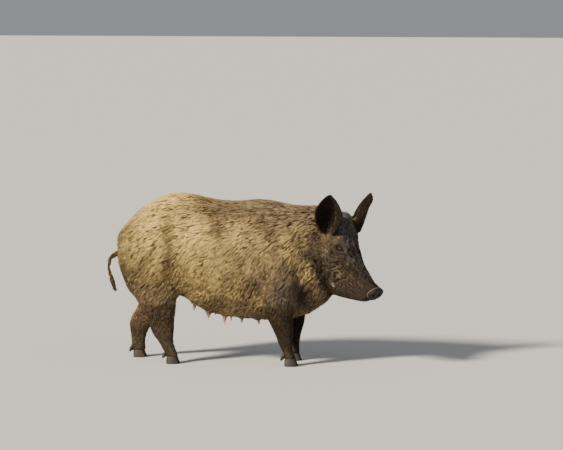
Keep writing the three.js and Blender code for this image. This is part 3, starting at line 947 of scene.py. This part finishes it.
def skin_material(skin, coat):
    nodes = Nodes("boar_hide")
    place = nodes.place()
    lie = nodes.attribute("combed", "Vector")
    streaks = nodes.noise(nodes.stretched(lie, 90, 620, 620), 1.0, 4, 0.6)
    mottle = nodes.noise(place, 42, 5, 0.6)
    hidden = 0.45 + nodes.attribute("olive") * 0.2 - nodes.attribute("dark") * 0.42
    hair = nodes.mix(hidden, coat_colour(nodes, coat), skin.hide)
    gaps = ((streaks - 0.34) * 3.2 + nodes.attribute("dark") * 0.4).clamped()
    hair = nodes.mix(gaps, hair, nodes.mix(nodes.attribute("dark"), coat.root, coat.dark))
    hair = nodes.mix(nodes.attribute("mud") * 0.4, hair, skin.mud)
    bare_colour = nodes.mix(nodes.attribute("teat"), skin.snout, skin.teat)
    bare_colour = nodes.mix(nodes.attribute("rim"), bare_colour, skin.rim)
    bare_colour = nodes.mix((mottle - 0.3).clamped(), bare_colour, nodes.mix(0.5, bare_colour, skin.hide))
    bare = nodes.attribute("bare")
    nodes.set("Base Color", nodes.mix(bare, hair, bare_colour))
    nodes.set("Roughness", (0.88 - bare * 0.30 + (mottle - 0.5) * 0.2).clamped(0.3, 1))
    nodes.set("Specular IOR Level", 0.16)
    pores = nodes.make("ShaderNodeTexVoronoi", {}, Vector=place, Scale=750.0)
    height = streaks * (1 - bare) + (mottle * 0.8 + pores * 0.4) * bare
    nodes.bumped(height, 0.0016, 0.9)
    return nodes.material


def coat_material(name, coat, skin, shine):
    nodes = Nodes(name)
    along, own = nodes.attribute("along"), nodes.attribute("own")
    tone = coat_colour(nodes, coat)
    tone = nodes.mix(((own - 0.47) * 2.7).clamped() * 0.90, tone, nodes.mix(0.78, tone, coat.root))
    short = nodes.attribute("olive")
    light = ((0.34 - own) * 3.2).clamped() * (1 - nodes.attribute("dark") * 1.35).clamped()
    bleached = nodes.mix(0.5, tone, nodes.mix(short, coat.buff, coat.sand))
    tone = nodes.mix(light * (0.6 - short * 0.44), tone, bleached)
    rooted = 0.90 - short * 0.45 - nodes.attribute("dark") * 0.45
    tone = nodes.mix(((1 - along) ** 1.4) * rooted, tone, coat.root)
    grime = nodes.noise(nodes.place(), 14, 4, 0.6)
    tone = nodes.mix(((grime - 0.50) * 3.0).clamped() * (0.30 - short * 0.25), tone, coat.brown)
    tone = nodes.mix(nodes.attribute("mud") * (0.30 + own * 0.35), tone, skin.mud)
    nodes.set("Base Color", tone)
    nodes.set("Roughness", (0.55 + own * 0.2).clamped())
    nodes.set("Specular IOR Level", shine)
    fibres = nodes.noise(nodes.stretched(nodes.attribute("fibre", "Vector"), 3, 3, 3), 4.0, 3)
    nodes.bumped(fibres, 0.0004, 0.6)
    return nodes.material


# ---- The coat ----
def lie_of_coat(points, normals, regions):
    """The direction in which the hair lies, along the skin."""
    x, z = points[:, 0], points[:, 2]
    number = len(points)
    slope = 0.27 + 1.05 * smoothstep(0.74, 0.34, z) + 0.15 * bump(x, 0.14, 0.25)
    body = unit(np.stack([-np.ones(number), np.zeros(number), -slope], axis=1))
    rump = smoothstep(-0.44, -0.60, x)[:, None]
    body = unit(body * (1 - rump) + rump * np.array([-0.25, 0, -1.0]))
    leg = np.tile([-0.30, 0.0, -1.0], (number, 1))
    _, rise, left = head_coordinates(points)
    head = np.tile(-np.array(MUZZLE_AXIS), (number, 1))
    drop = smoothstep(-0.02, -0.13, rise)[:, None]
    head = unit(head - np.array(UP) * drop * 0.80 - np.array(AHEAD) * drop * 0.35)
    ear = np.zeros((number, 3))
    for side in SIDES.values():
        base, tip = ear_line(side)
        ear[left * side > 0] = np.array((tip - base).normalized())
    tail = np.tile([-0.1, 0.0, -1.0], (number, 1))
    tail[z > 0.47] = unit(np.array([-1.0, 0, -0.4]))
    flow = (
        regions["coarse"][:, None] * body
        + (regions["face"] + regions["disc"])[:, None] * head
        + regions["ear"][:, None] * ear
        + regions["leg"][:, None] * leg
        + regions["tail"][:, None] * tail
    )
    swirl = waves(points, 0.12, 31) * 0.20 + waves(points, 0.045, 32) * 0.09
    swirl = swirl + regions["face"] * 0.9 * smoothstep(-0.07, -0.13, rise) * waves(points, 0.038, 33)
    sideways = np.cross(normals, unit(flow))
    flow = unit(flow) + sideways * swirl[:, None]
    return unit(flow - normals * np.sum(flow * normals, axis=1, keepdims=True))


TUFTS = {  # per square metre
    "body": 89000,
    "more on neck": 16000,
    "face": 300000,
    "fewer on jowl": 130000,
    "ear": 160000,
    "leg": 160000,
    "more on shin": 75000,
    "tail": 170000,
}


def hair_fields(points, regions, coat):
    """For each point of the skin: the tufts' size, spread and curl, tufts per lock and locks per area."""
    x, z = points[:, 0], points[:, 2]
    back, rise, _ = head_coordinates(points)
    body, face = regions["coarse"], regions["face"]
    mane = smoothstep(0.62, 0.74, z) * smoothstep(-0.2, 0.1, x)
    neck = smoothstep(0.24, 0.34, x)
    long = coat.lock_length * (1 + 0.25 * mane - 0.30 * smoothstep(0.34, 0.22, z) - 0.30 * neck)
    jowl = smoothstep(0.12, 0.20, back) * smoothstep(-0.085, -0.14, rise)
    hollow = ear_hollow(points)
    cheek = coat.face_length * (0.46 + 0.36 * smoothstep(0.04, 0.24, back) + 0.80 * jowl)
    cheek = cheek * (1 - 0.6 * near_eye(points))
    leg = 0.0095 + 0.0185 * smoothstep(0.09, 0.28, z)
    ear = 0.011 + 0.008 * smoothstep(0.4, 0.1, ear_places(points)[0])
    face_width = 0.36 + 0.10 * smoothstep(0.1, 0.2, back) + 0.34 * jowl
    size = {
        "length": body * long + face * cheek + regions["ear"] * ear + regions["leg"] * leg,
        "width": coat.lock_width * (body * (1 - 0.25 * neck) + face * face_width + regions["ear"] * 0.46),
        "curl": (0.06 + 0.24 * jowl) * face + 0.035,
        "tufts": body * (TUFTS["body"] + TUFTS["more on neck"] * neck)
        + face * (TUFTS["face"] - TUFTS["fewer on jowl"] * jowl)
        + regions["ear"] * TUFTS["ear"],
        "per_lock": np.where(body > 0.5, 5, np.where(jowl > 0.5, 5, 3)),
    }
    size["length"] += regions["tail"] * (0.016 + 0.03 * smoothstep(0.40, 0.33, z))
    shin = regions["leg"] * smoothstep(0.19, 0.09, z)
    size["width"] += coat.lock_width * (regions["leg"] * 0.64 - shin * 0.22 + regions["tail"] * 0.6)
    size["tufts"] += (
        regions["leg"] * TUFTS["leg"] + shin * TUFTS["more on shin"] + regions["tail"] * TUFTS["tail"]
    )
    size["length"] *= 1 - 0.55 * hollow * np.clip(regions["head"] + regions["neck"], 0, 1)
    size["spread"] = size["length"] * np.where(body > 0.5, 0.155, 0.19)
    bare = np.maximum(regions["disc"], teat_share(points))
    thin = (1 - smoothstep(0.2, 0.6, bare)) * (1 - 0.5 * near_eye(points))
    size["locks"] = size["tufts"] * thin / size["per_lock"]
    size["face"] = face
    return size


def pick(values, corners, weights):
    """Values between a face's corners."""
    found = values[corners]
    return np.einsum("ij,ij...->i...", weights, found)


def scatter(skin, density, rng):
    """Random places on the skin, closer together where the density is higher."""
    a, b, c = (skin.points[skin.triangles[:, i]] for i in range(3))
    areas = np.linalg.norm(np.cross(b - a, c - a), axis=1) / 2
    wanted = areas * density[skin.triangles].mean(axis=1)
    total = rng.poisson(wanted.sum())
    which = np.searchsorted(np.cumsum(wanted) / wanted.sum(), rng.random(total))
    which = np.minimum(which, len(areas) - 1)
    u, v = inside_triangles(rng, total)
    return skin.triangles[which], np.stack([1 - u - v, u, v], axis=1)


def settle(tree, points):
    """The nearest places on the skin, and the skin's normals there."""
    places, normals = np.empty_like(points), np.empty_like(points)
    for i, point in enumerate(points):
        place, normal, _, _ = tree.find_nearest(point)
        places[i], normals[i] = place, normal
    return places, normals


def unrolled(points, regions):
    """A flat map of the skin: round the trunk, the head, each leg, each ear and the tail."""
    x, y, z = points.T
    back, rise, left = head_coordinates(points)
    flat = np.stack([(x + 0.68) / 1.1, np.arctan2(y, z - 0.48) / (2 * math.pi) + 0.5], axis=1)
    head = np.stack([(back + 0.05) / 0.55, np.arctan2(left, rise + 0.09) / (2 * math.pi) + 0.5], axis=1)
    chosen = regions["head"] + regions["disc"] + regions["ear"] > 0.5
    flat[chosen] = head[chosen]
    ear = np.stack([0.25 + left * 1.4, (z - 0.56) * 3.6], axis=1)
    on_ear = regions["ear"] > 0.5
    flat[on_ear] = ear[on_ear] + [0.25, 0]
    for i, middle in enumerate(leg_middles()):
        own = (regions["leg"] > 0.5) & (np.sign(y) == middle[2]) & ((x > 0) == (middle[0] > 0))
        angle = np.arctan2(y[own] - middle[1], x[own] - leg_line(middle, z[own])) / (2 * math.pi) + 0.5
        flat[own] = np.stack([0.02 + 0.25 * i + 0.21 * angle, z[own] * 3.0], axis=1)
    on_tail = regions["tail"] > 0.5
    round_tail = np.arctan2(y + 0.004, x + 0.64) / (2 * math.pi) + 0.5
    flat[on_tail] = np.stack([round_tail, (z - 0.28) * 4], axis=1)[on_tail]
    return np.clip(flat, 0.003, 0.997)


def leg_middles():
    """For each leg: its foot's x and y, the side it is on, and its top's x."""
    found = []
    for name in LEGS:
        low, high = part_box(name)
        side = 1 if "left" in name else -1
        found.append((FOOT_AHEAD[name], (low[1] + high[1]) / 2, side, (low[0] + high[0]) / 2))
    return found


def leg_line(middle, height):
    return middle[0] + (middle[3] - middle[0]) * smoothstep(0.05, 0.30, height)


TUFT_VERTS = 5
TUFT_PATCH = 0.003  # each tuft's share of the map
PATCH_SHAPE = np.array([[0.5, 0], [0, 0.4], [1, 0.4], [0.5, 0.5], [0.5, 1.0]])
TUFT_FACES = np.array([(2, 1, 0), (3, 2, 0), (1, 3, 0), (1, 2, 4), (2, 3, 4), (3, 1, 4)])


def tuft_mesh(name, roots, middles, tips, normals, width, extra):
    """Many thin tufts, each a closed three-sided spindle from its root in the skin to its tip."""
    number = len(roots)
    along = unit(tips - roots)
    across = unit(np.cross(normals, along))
    over = np.cross(along, across)
    half = (width / 2)[:, None]
    girdle = [middles - across * half, middles + across * half, middles + over * half * 0.8]
    verts = np.stack([roots, *girdle, tips], axis=1).reshape(-1, 3)
    faces = (TUFT_FACES[None] + (np.arange(number) * TUFT_VERTS)[:, None, None]).reshape(-1, 3)
    mesh = bpy.data.meshes.new(name)
    mesh.vertices.add(len(verts))
    mesh.loops.add(faces.size)
    mesh.polygons.add(len(faces))
    mesh.vertices.foreach_set("co", verts.astype(np.float32).ravel())
    mesh.loops.foreach_set("vertex_index", faces.astype(np.int32).ravel())
    mesh.polygons.foreach_set("loop_start", np.arange(0, faces.size, 3, dtype=np.int32))
    mesh.update(calc_edges=True)
    mesh.polygons.foreach_set("use_smooth", np.ones(len(faces), bool))
    store(mesh, "along", np.tile([0, 0.5, 0.5, 0.5, 1.0], number))
    for key, values in extra.items():
        store(mesh, key, np.repeat(values, TUFT_VERTS, axis=0))
    return mesh, faces


def add_bake_map(mesh, faces, flat):
    """Every tuft gets a small patch of the map at its root's place on the unrolled skin."""
    corners = (flat[:, None, :] + (PATCH_SHAPE[None] - 0.5) * TUFT_PATCH).reshape(-1, 2)
    layer = mesh.uv_layers.new(name="OFBake")
    layer.data.foreach_set("uv", np.clip(corners[faces.ravel()], 0, 1).astype(np.float32).ravel())


RUMP_FROM, SHOULDER_FROM = -0.28, 0.02  # where the barrel's coat ends


def coat_pieces(roots, regions):
    """Which named piece of the coat each lock belongs to."""
    x, y = roots.T[:2]
    left = head_coordinates(roots)[2]
    on_head = regions["head"] + regions["disc"] > 0.5
    names = np.full(len(roots), "coat_barrel", dtype=object)
    for side, here in (("right", y <= 0), ("left", y > 0)):
        names[here] = f"coat_barrel_{side}"
        names[here & (x < RUMP_FROM)] = f"coat_rump_{side}"
        names[here & (x > SHOULDER_FROM)] = f"coat_shoulder_{side}"
    names[regions["neck"] > 0.5] = "coat_neck"
    for side, here in (("right", left <= 0), ("left", left > 0)):
        names[here & on_head] = f"coat_nape_{side}"
        names[here & (regions["face"] > 0.5)] = f"coat_face_{side}"
    names[regions["ear"] > 0.5] = "coat_ears"
    names[(regions["leg"] > 0.5) & (x > 0)] = "coat_forelegs"
    names[(regions["leg"] > 0.5) & (x <= 0)] = "coat_hindlegs"
    names[regions["tail"] > 0.5] = "coat_tail"
    return names


SHORT_PIECES = ["coat_ears", "coat_face_left", "coat_face_right", "coat_forelegs", "coat_hindlegs"]


def over_teat(points):
    """Which tips would hang over a teat."""
    found = np.zeros(len(points), bool)
    for away, belly in round_teats(points, 0.0765):
        found |= (away < 0.017) & (points[:, 2] < belly + 0.012)
    return found


def grow_coat(coat):
    """Makes every lock of the coat, and gives its pieces."""
    rng = np.random.default_rng(coat.seed)
    skin = Skin
    size = hair_fields(skin.points, skin.regions, coat)
    amount = coat.amount * 1.0
    corners, weights = scatter(skin, size["locks"] * amount, rng)
    roots = pick(skin.points, corners, weights)
    normals = unit(pick(skin.normals, corners, weights))
    regions = {name: pick(share, corners, weights) for name, share in skin.regions.items()}
    own = {name: pick(values.astype(float), corners, weights) for name, values in size.items()}
    flow = lie_of_coat(roots, normals, regions)
    flow = unit(flow + np.cross(normals, flow) * rng.normal(0, 0.085, len(roots))[:, None])
    reach = own["length"] * rng.uniform(0.72, 1.28, len(roots))
    lift = pick(skin.depth, corners, weights) * rng.uniform(0.40, 1.0, len(roots))
    lift *= 1 - 0.45 * face_folds(roots)[1] * own["face"]
    curl = rng.normal(0, 1, len(roots)) * own["curl"] * reach
    tree = BVHTree.FromPolygons(skin.points.tolist(), skin.triangles.tolist())
    tip_foot, tip_normal = settle(tree, roots + flow * reach[:, None])
    middle_foot, middle_normal = settle(tree, roots + flow * (reach * 0.42)[:, None])
    hanging = (tip_normal[:, 2] < -0.6) & (tip_foot[:, 2] < 0.05)
    tip_foot[hanging] = (roots + flow * reach[:, None])[hanging]
    tip_normal[hanging] = normals[hanging]
    tips = tip_foot + tip_normal * lift[:, None]
    middles = middle_foot + middle_normal * (lift * 0.75)[:, None] + np.cross(normals, flow) * curl[:, None]
    tips[:, 2] = np.maximum(tips[:, 2], 0.024)
    middles[:, 2] = np.maximum(middles[:, 2], 0.028)
    marks = markings(middle_foot, normals, regions)
    names = coat_pieces(roots, regions)
    flat = unrolled(roots, regions)
    tufts = own["per_lock"].round().astype(int)
    tufts[over_teat(tips)] = 0
    dashes = drawn_out(middle_foot, flow, 0.0052, 51)
    lock_shade = np.clip(0.30 * rng.random(len(roots)) + 0.35 + 0.50 * dashes, 0, 1)
    pieces = {}
    for name in sorted(set(names)):
        chosen = np.flatnonzero(names == name)
        member = np.repeat(chosen, tufts[chosen])
        number = len(member)
        side = np.cross(normals[member], flow[member])
        slide = rng.normal(0, 0.55, number) * own["spread"][member]
        shift = rng.normal(0, 0.7, number) * own["spread"][member]
        offset = side * slide[:, None] + flow[member] * shift[:, None]
        start = roots[member] + offset - normals[member] * 0.0012
        centre = middles[member] + offset * 0.75 + normals[member] * (rng.normal(0, 0.0007, number))[:, None]
        slip = rng.normal(0, 0.11, number) * reach[member]
        end = tips[member] + offset * 0.26 + flow[member] * slip[:, None]
        shade = np.clip(0.72 * lock_shade[member] + 0.28 * rng.random(number), 0, 1)
        extra = {"own": shade, "fibre": rng.random((number, 3)) * 50}
        extra.update({key: values[member] for key, values in marks.items()})
        width = own["width"][member] * rng.uniform(0.7, 1.2, number)
        mesh, faces = tuft_mesh(name, start, centre, end, normals[member], width, extra)
        add_bake_map(mesh, faces, flat[member] + offset[:, [0, 2]] * 0.6)
        pieces[name] = mesh
    return pieces


# ---- Hooves and eyes ----
def hoof_mesh(nodes):
    """The claws of one foot, rounded, with growth rings and a flat sole."""
    mesh = remeshed(nodes, 0.0018)
    points, edges = mesh_points(mesh), mesh_edges(mesh)
    sole = points[:, 2] < 0.0012
    web = Web(edges, len(points))
    share = np.where(points[:, 2] < 0.004, 0.12, 0.45)
    points = web.smooth(points, share, 14)
    normals = vertex_normals(points, mesh_triangles(mesh))
    rings = np.sin(points[:, 2] * 2 * math.pi / 0.0052 + waves(points, 0.03, 41) * 1.3)
    wall = smoothstep(0.003, 0.008, points[:, 2]) * (1 - np.abs(normals[:, 2])) ** 0.5
    points += normals * (0.00032 * rings * wall)[:, None]
    points[sole, 2] = 0.0
    points[:, 2] = np.maximum(points[:, 2], 0)
    reshape(mesh, points)
    return mesh


def horn_material(skin):
    nodes = Nodes("hoof_horn")
    place = nodes.place()
    fine = nodes.noise(nodes.stretched(place, 1, 1, 0.12), 900, 4, 0.6)
    patch = nodes.noise(place, 60, 5, 0.65)
    rings = nodes.noise(nodes.stretched(place, 0.25, 0.25, 3), 120, 3)
    horn = nodes.mix(fine * 0.6, skin.horn, blended(skin.horn, skin.mud, 0.4))
    horn = nodes.mix(((patch - 0.50) * 5).clamped() * 0.4, horn, skin.mud)
    nodes.set("Base Color", horn)
    nodes.set("Roughness", (0.45 + patch * 0.45).clamped())
    nodes.set("Specular IOR Level", 0.3)
    nodes.bumped(rings * 0.6 + fine * 0.3 + patch * 0.5, 0.0009, 0.8)
    return nodes.material


def eye_mesh(side):
    """A smooth ball whose clear front stands out a little over the iris."""
    middle, outward, along, across = eye_frame(side)
    ball = bmesh.new()
    bmesh.ops.create_uvsphere(ball, u_segments=48, v_segments=32, radius=EYE_RADIUS)
    mesh = bpy.data.meshes.new("eye")
    ball.to_mesh(mesh)
    ball.free()
    points = mesh_points(mesh)
    polar = np.arccos(np.clip(points[:, 2] / EYE_RADIUS, -1, 1))
    points *= (1 + 0.05 * smoothstep(0.62, 0.30, polar))[:, None]
    reshape(mesh, points @ np.stack([along, across, outward]) + middle)
    store(mesh, "polar", polar)
    store(mesh, "spoke", points)
    if side > 0:
        mesh.flip_normals()
    mesh.update()
    return mesh


def eye_material(skin):
    nodes = Nodes("boar_eye")
    polar = nodes.attribute("polar")
    spokes = nodes.noise(nodes.stretched(nodes.attribute("spoke", "Vector"), 900, 900, 60), 1.0, 4)
    iris = nodes.mix(spokes, skin.iris, blended(skin.iris, (0.10, 0.045, 0.02), 0.5))
    pupil = ((polar - 0.27) * 14).clamped()
    white = ((polar - 0.74) * 9).clamped()
    shade = nodes.mix(pupil, (0.004, 0.003, 0.003), iris)
    nodes.set("Base Color", nodes.mix(white, shade, (0.05, 0.032, 0.026)))
    nodes.set("Roughness", 0.08)
    nodes.set("Specular IOR Level", 0.25)
    nodes.set("Coat Weight", 0.6)
    nodes.set("Coat Roughness", 0.03)
    nodes.bumped(spokes, 0.0001, 0.2)
    return nodes.material


# ---- Operators ----
class BOAR_OT_skin(bpy.types.Operator):
    """Make one skin over the flesh, with lids, lips, nostrils and folds"""

    bl_idname = "boar.skin"
    bl_label = "Skin"

    def execute(self, context):
        settings = context.scene.boar_skin
        mesh = make_skin_mesh(settings.grain)
        points, triangles = mesh_points(mesh), mesh_triangles(mesh)
        regions = add_coarse(points, read_regions(mesh))
        points = sculpt_body(points, vertex_normals(points, triangles), regions)
        points = sculpt_head(points, vertex_normals(points, triangles), regions)
        reshape(mesh, points)
        Skin.points, Skin.triangles, Skin.regions = points, triangles, regions
        Skin.normals = vertex_normals(points, triangles)
        Skin.depth = coat_depth(points, regions)
        for name in REGIONS:
            mesh.attributes.remove(mesh.attributes[f"region_{name}"])
        for name, mask in markings(points, Skin.normals, regions).items():
            store(mesh, name, mask)
        store(mesh, "teat", teat_share(points))
        store(mesh, "combed", combed(points, regions))
        shown("skin", mesh, skin_material(settings, context.scene.boar_coat), "coat", *FLESH)
        return {"FINISHED"}


class BOAR_OT_coat(bpy.types.Operator):
    """Grow the bristles over the skin, in locks that follow the lie of the coat"""

    bl_idname = "boar.coat"
    bl_label = "Coat"

    def execute(self, context):
        coat = context.scene.boar_coat
        if Skin.points is None:
            raise RuntimeError("make the skin first")
        skin = context.scene.boar_skin
        bristles = coat_material("boar_bristles", coat, skin, 0.35)
        short_hair = coat_material("boar_short_hair", coat, skin, 0.12)
        for name, mesh in grow_coat(coat).items():
            shown(name, mesh, short_hair if name in SHORT_PIECES else bristles, "coat")
        return {"FINISHED"}


class BOAR_OT_hooves(bpy.types.Operator):
    """Make the claws and dewclaws of every foot"""

    bl_idname = "boar.hooves"
    bl_label = "Hooves"

    def execute(self, context):
        material = horn_material(context.scene.boar_skin)
        for pair in ("fore", "hind"):
            for side in SIDES:
                foot = [f"{kind}_{pair}_{side}" for kind in ("hoof", "dewclaw")]
                nodes = [f"{claw}_{which}" for claw in foot for which in ("inner", "outer")]
                shown(f"claws_{pair}_{side}", hoof_mesh(nodes), material, "horn", *nodes)
        return {"FINISHED"}


class BOAR_OT_eyes(bpy.types.Operator):
    """Make both eyes, dark brown and wet"""

    bl_idname = "boar.eyes"
    bl_label = "Eyes"

    def execute(self, context):
        material = eye_material(context.scene.boar_skin)
        for side, sign in SIDES.items():
            shown(f"eyeball_{side}", eye_mesh(sign), material, "eyeball", f"eye_{side}")
        return {"FINISHED"}


class BOAR_OT_stage(bpy.types.Operator):
    """Make the floor, the soft lights and the camera"""

    bl_idname = "boar.stage"
    bl_label = "Stage"

    def execute(self, context):
        stage = context.scene.boar_stage
        make_floor(stage.floor_colour)
        make_lights(stage.key_strength)
        make_camera(stage)
        return {"FINISHED"}


# ---- Stage ----
AIM = Vector((0.148, 0.083, 0.635))
SENSOR = 36.0


def make_floor(shade):
    mesh = bpy.data.meshes.new("floor")
    half = 60.0
    corners = [(-half, -half, 0), (half, -half, 0), (half, half, 0), (-half, half, 0)]
    mesh.from_pydata(corners, [], [(0, 1, 2, 3)])
    nodes = Nodes("pale_floor")
    grain = nodes.noise(nodes.place(), 30, 4)
    nodes.set("Base Color", nodes.mix(grain * 0.25, tuple(shade), tuple(c * 0.9 for c in shade)))
    nodes.set("Roughness", 0.9)
    mesh.materials.append(nodes.material)
    floor = bpy.data.objects.new("floor", mesh)
    bpy.context.scene.collection.objects.link(floor)


def make_light(name, kind, aim_from, strength, **settings):
    light = bpy.data.lights.new(name, kind)
    light.energy = strength
    for key, value in settings.items():
        setattr(light, key, value)
    holder = bpy.data.objects.new(name, light)
    holder.location = aim_from
    holder.rotation_euler = (-Vector(aim_from)).to_track_quat("-Z", "Y").to_euler()
    bpy.context.scene.collection.objects.link(holder)


def make_lights(strength):
    key_angle, fill_angle = math.radians(10), math.radians(60)
    make_light("key", "SUN", (-3.7, -4.2, 3.4), strength, angle=key_angle, color=(1.0, 0.89, 0.73))
    make_light("fill", "SUN", (4.0, -3.0, 2.5), strength * 0.035, angle=fill_angle, color=(0.82, 0.9, 1.0))
    world = bpy.data.worlds.new("studio")
    world.use_nodes = True
    background = world.node_tree.nodes["Background"]
    background.inputs["Color"].default_value = (0.86, 0.90, 0.96, 1)
    background.inputs["Strength"].default_value = 0.33
    bpy.context.scene.world = world


def make_camera(stage):
    camera = bpy.data.cameras.new("camera")
    camera.sensor_width = SENSOR
    camera.lens = SENSOR * stage.distance / stage.view_width
    holder = bpy.data.objects.new("camera", camera)
    level = math.cos(stage.height_angle)
    back = Vector((math.sin(stage.turn) * level, -math.cos(stage.turn) * level, math.sin(stage.height_angle)))
    holder.location = AIM + back * stage.distance
    holder.rotation_euler = (-back).to_track_quat("-Z", "Y").to_euler()
    camera.clip_end = 200
    bpy.context.scene.collection.objects.link(holder)
    bpy.context.scene.camera = holder


# ---- Panel and registration ----
SETTINGS = {"boar_coat": BoarCoatSettings, "boar_skin": BoarSkinSettings, "boar_stage": BoarStageSettings}
OPERATORS = [BOAR_OT_skin, BOAR_OT_coat, BOAR_OT_hooves, BOAR_OT_eyes, BOAR_OT_stage]


class BOAR_PT_panel(bpy.types.Panel):
    """Lists the steps and their settings"""

    bl_label = "Wild Boar"
    bl_idname = "BOAR_PT_panel"
    bl_space_type = "VIEW_3D"
    bl_region_type = "UI"
    bl_category = "Boar"

    def draw(self, context):
        for operator in OPERATORS:
            self.layout.operator(operator.bl_idname)
        for name, group in SETTINGS.items():
            box = self.layout.box()
            for key in group.__annotations__:
                box.prop(getattr(context.scene, name), key)


CLASSES = [*SETTINGS.values(), *OPERATORS, BOAR_PT_panel]


def register():
    for kind in CLASSES:
        bpy.utils.register_class(kind)
    for name, group in SETTINGS.items():
        setattr(bpy.types.Scene, name, bpy.props.PointerProperty(type=group))


def unregister():
    for name in SETTINGS:
        delattr(bpy.types.Scene, name)
    for kind in reversed(CLASSES):
        bpy.utils.unregister_class(kind)


def main():
    register()
    bpy.ops.boar.stage()
    bpy.ops.boar.skin()
    bpy.ops.boar.coat()
    bpy.ops.boar.hooves()
    bpy.ops.boar.eyes()
    bpy.context.view_layer.update()


if __name__ == "__main__":
    main()
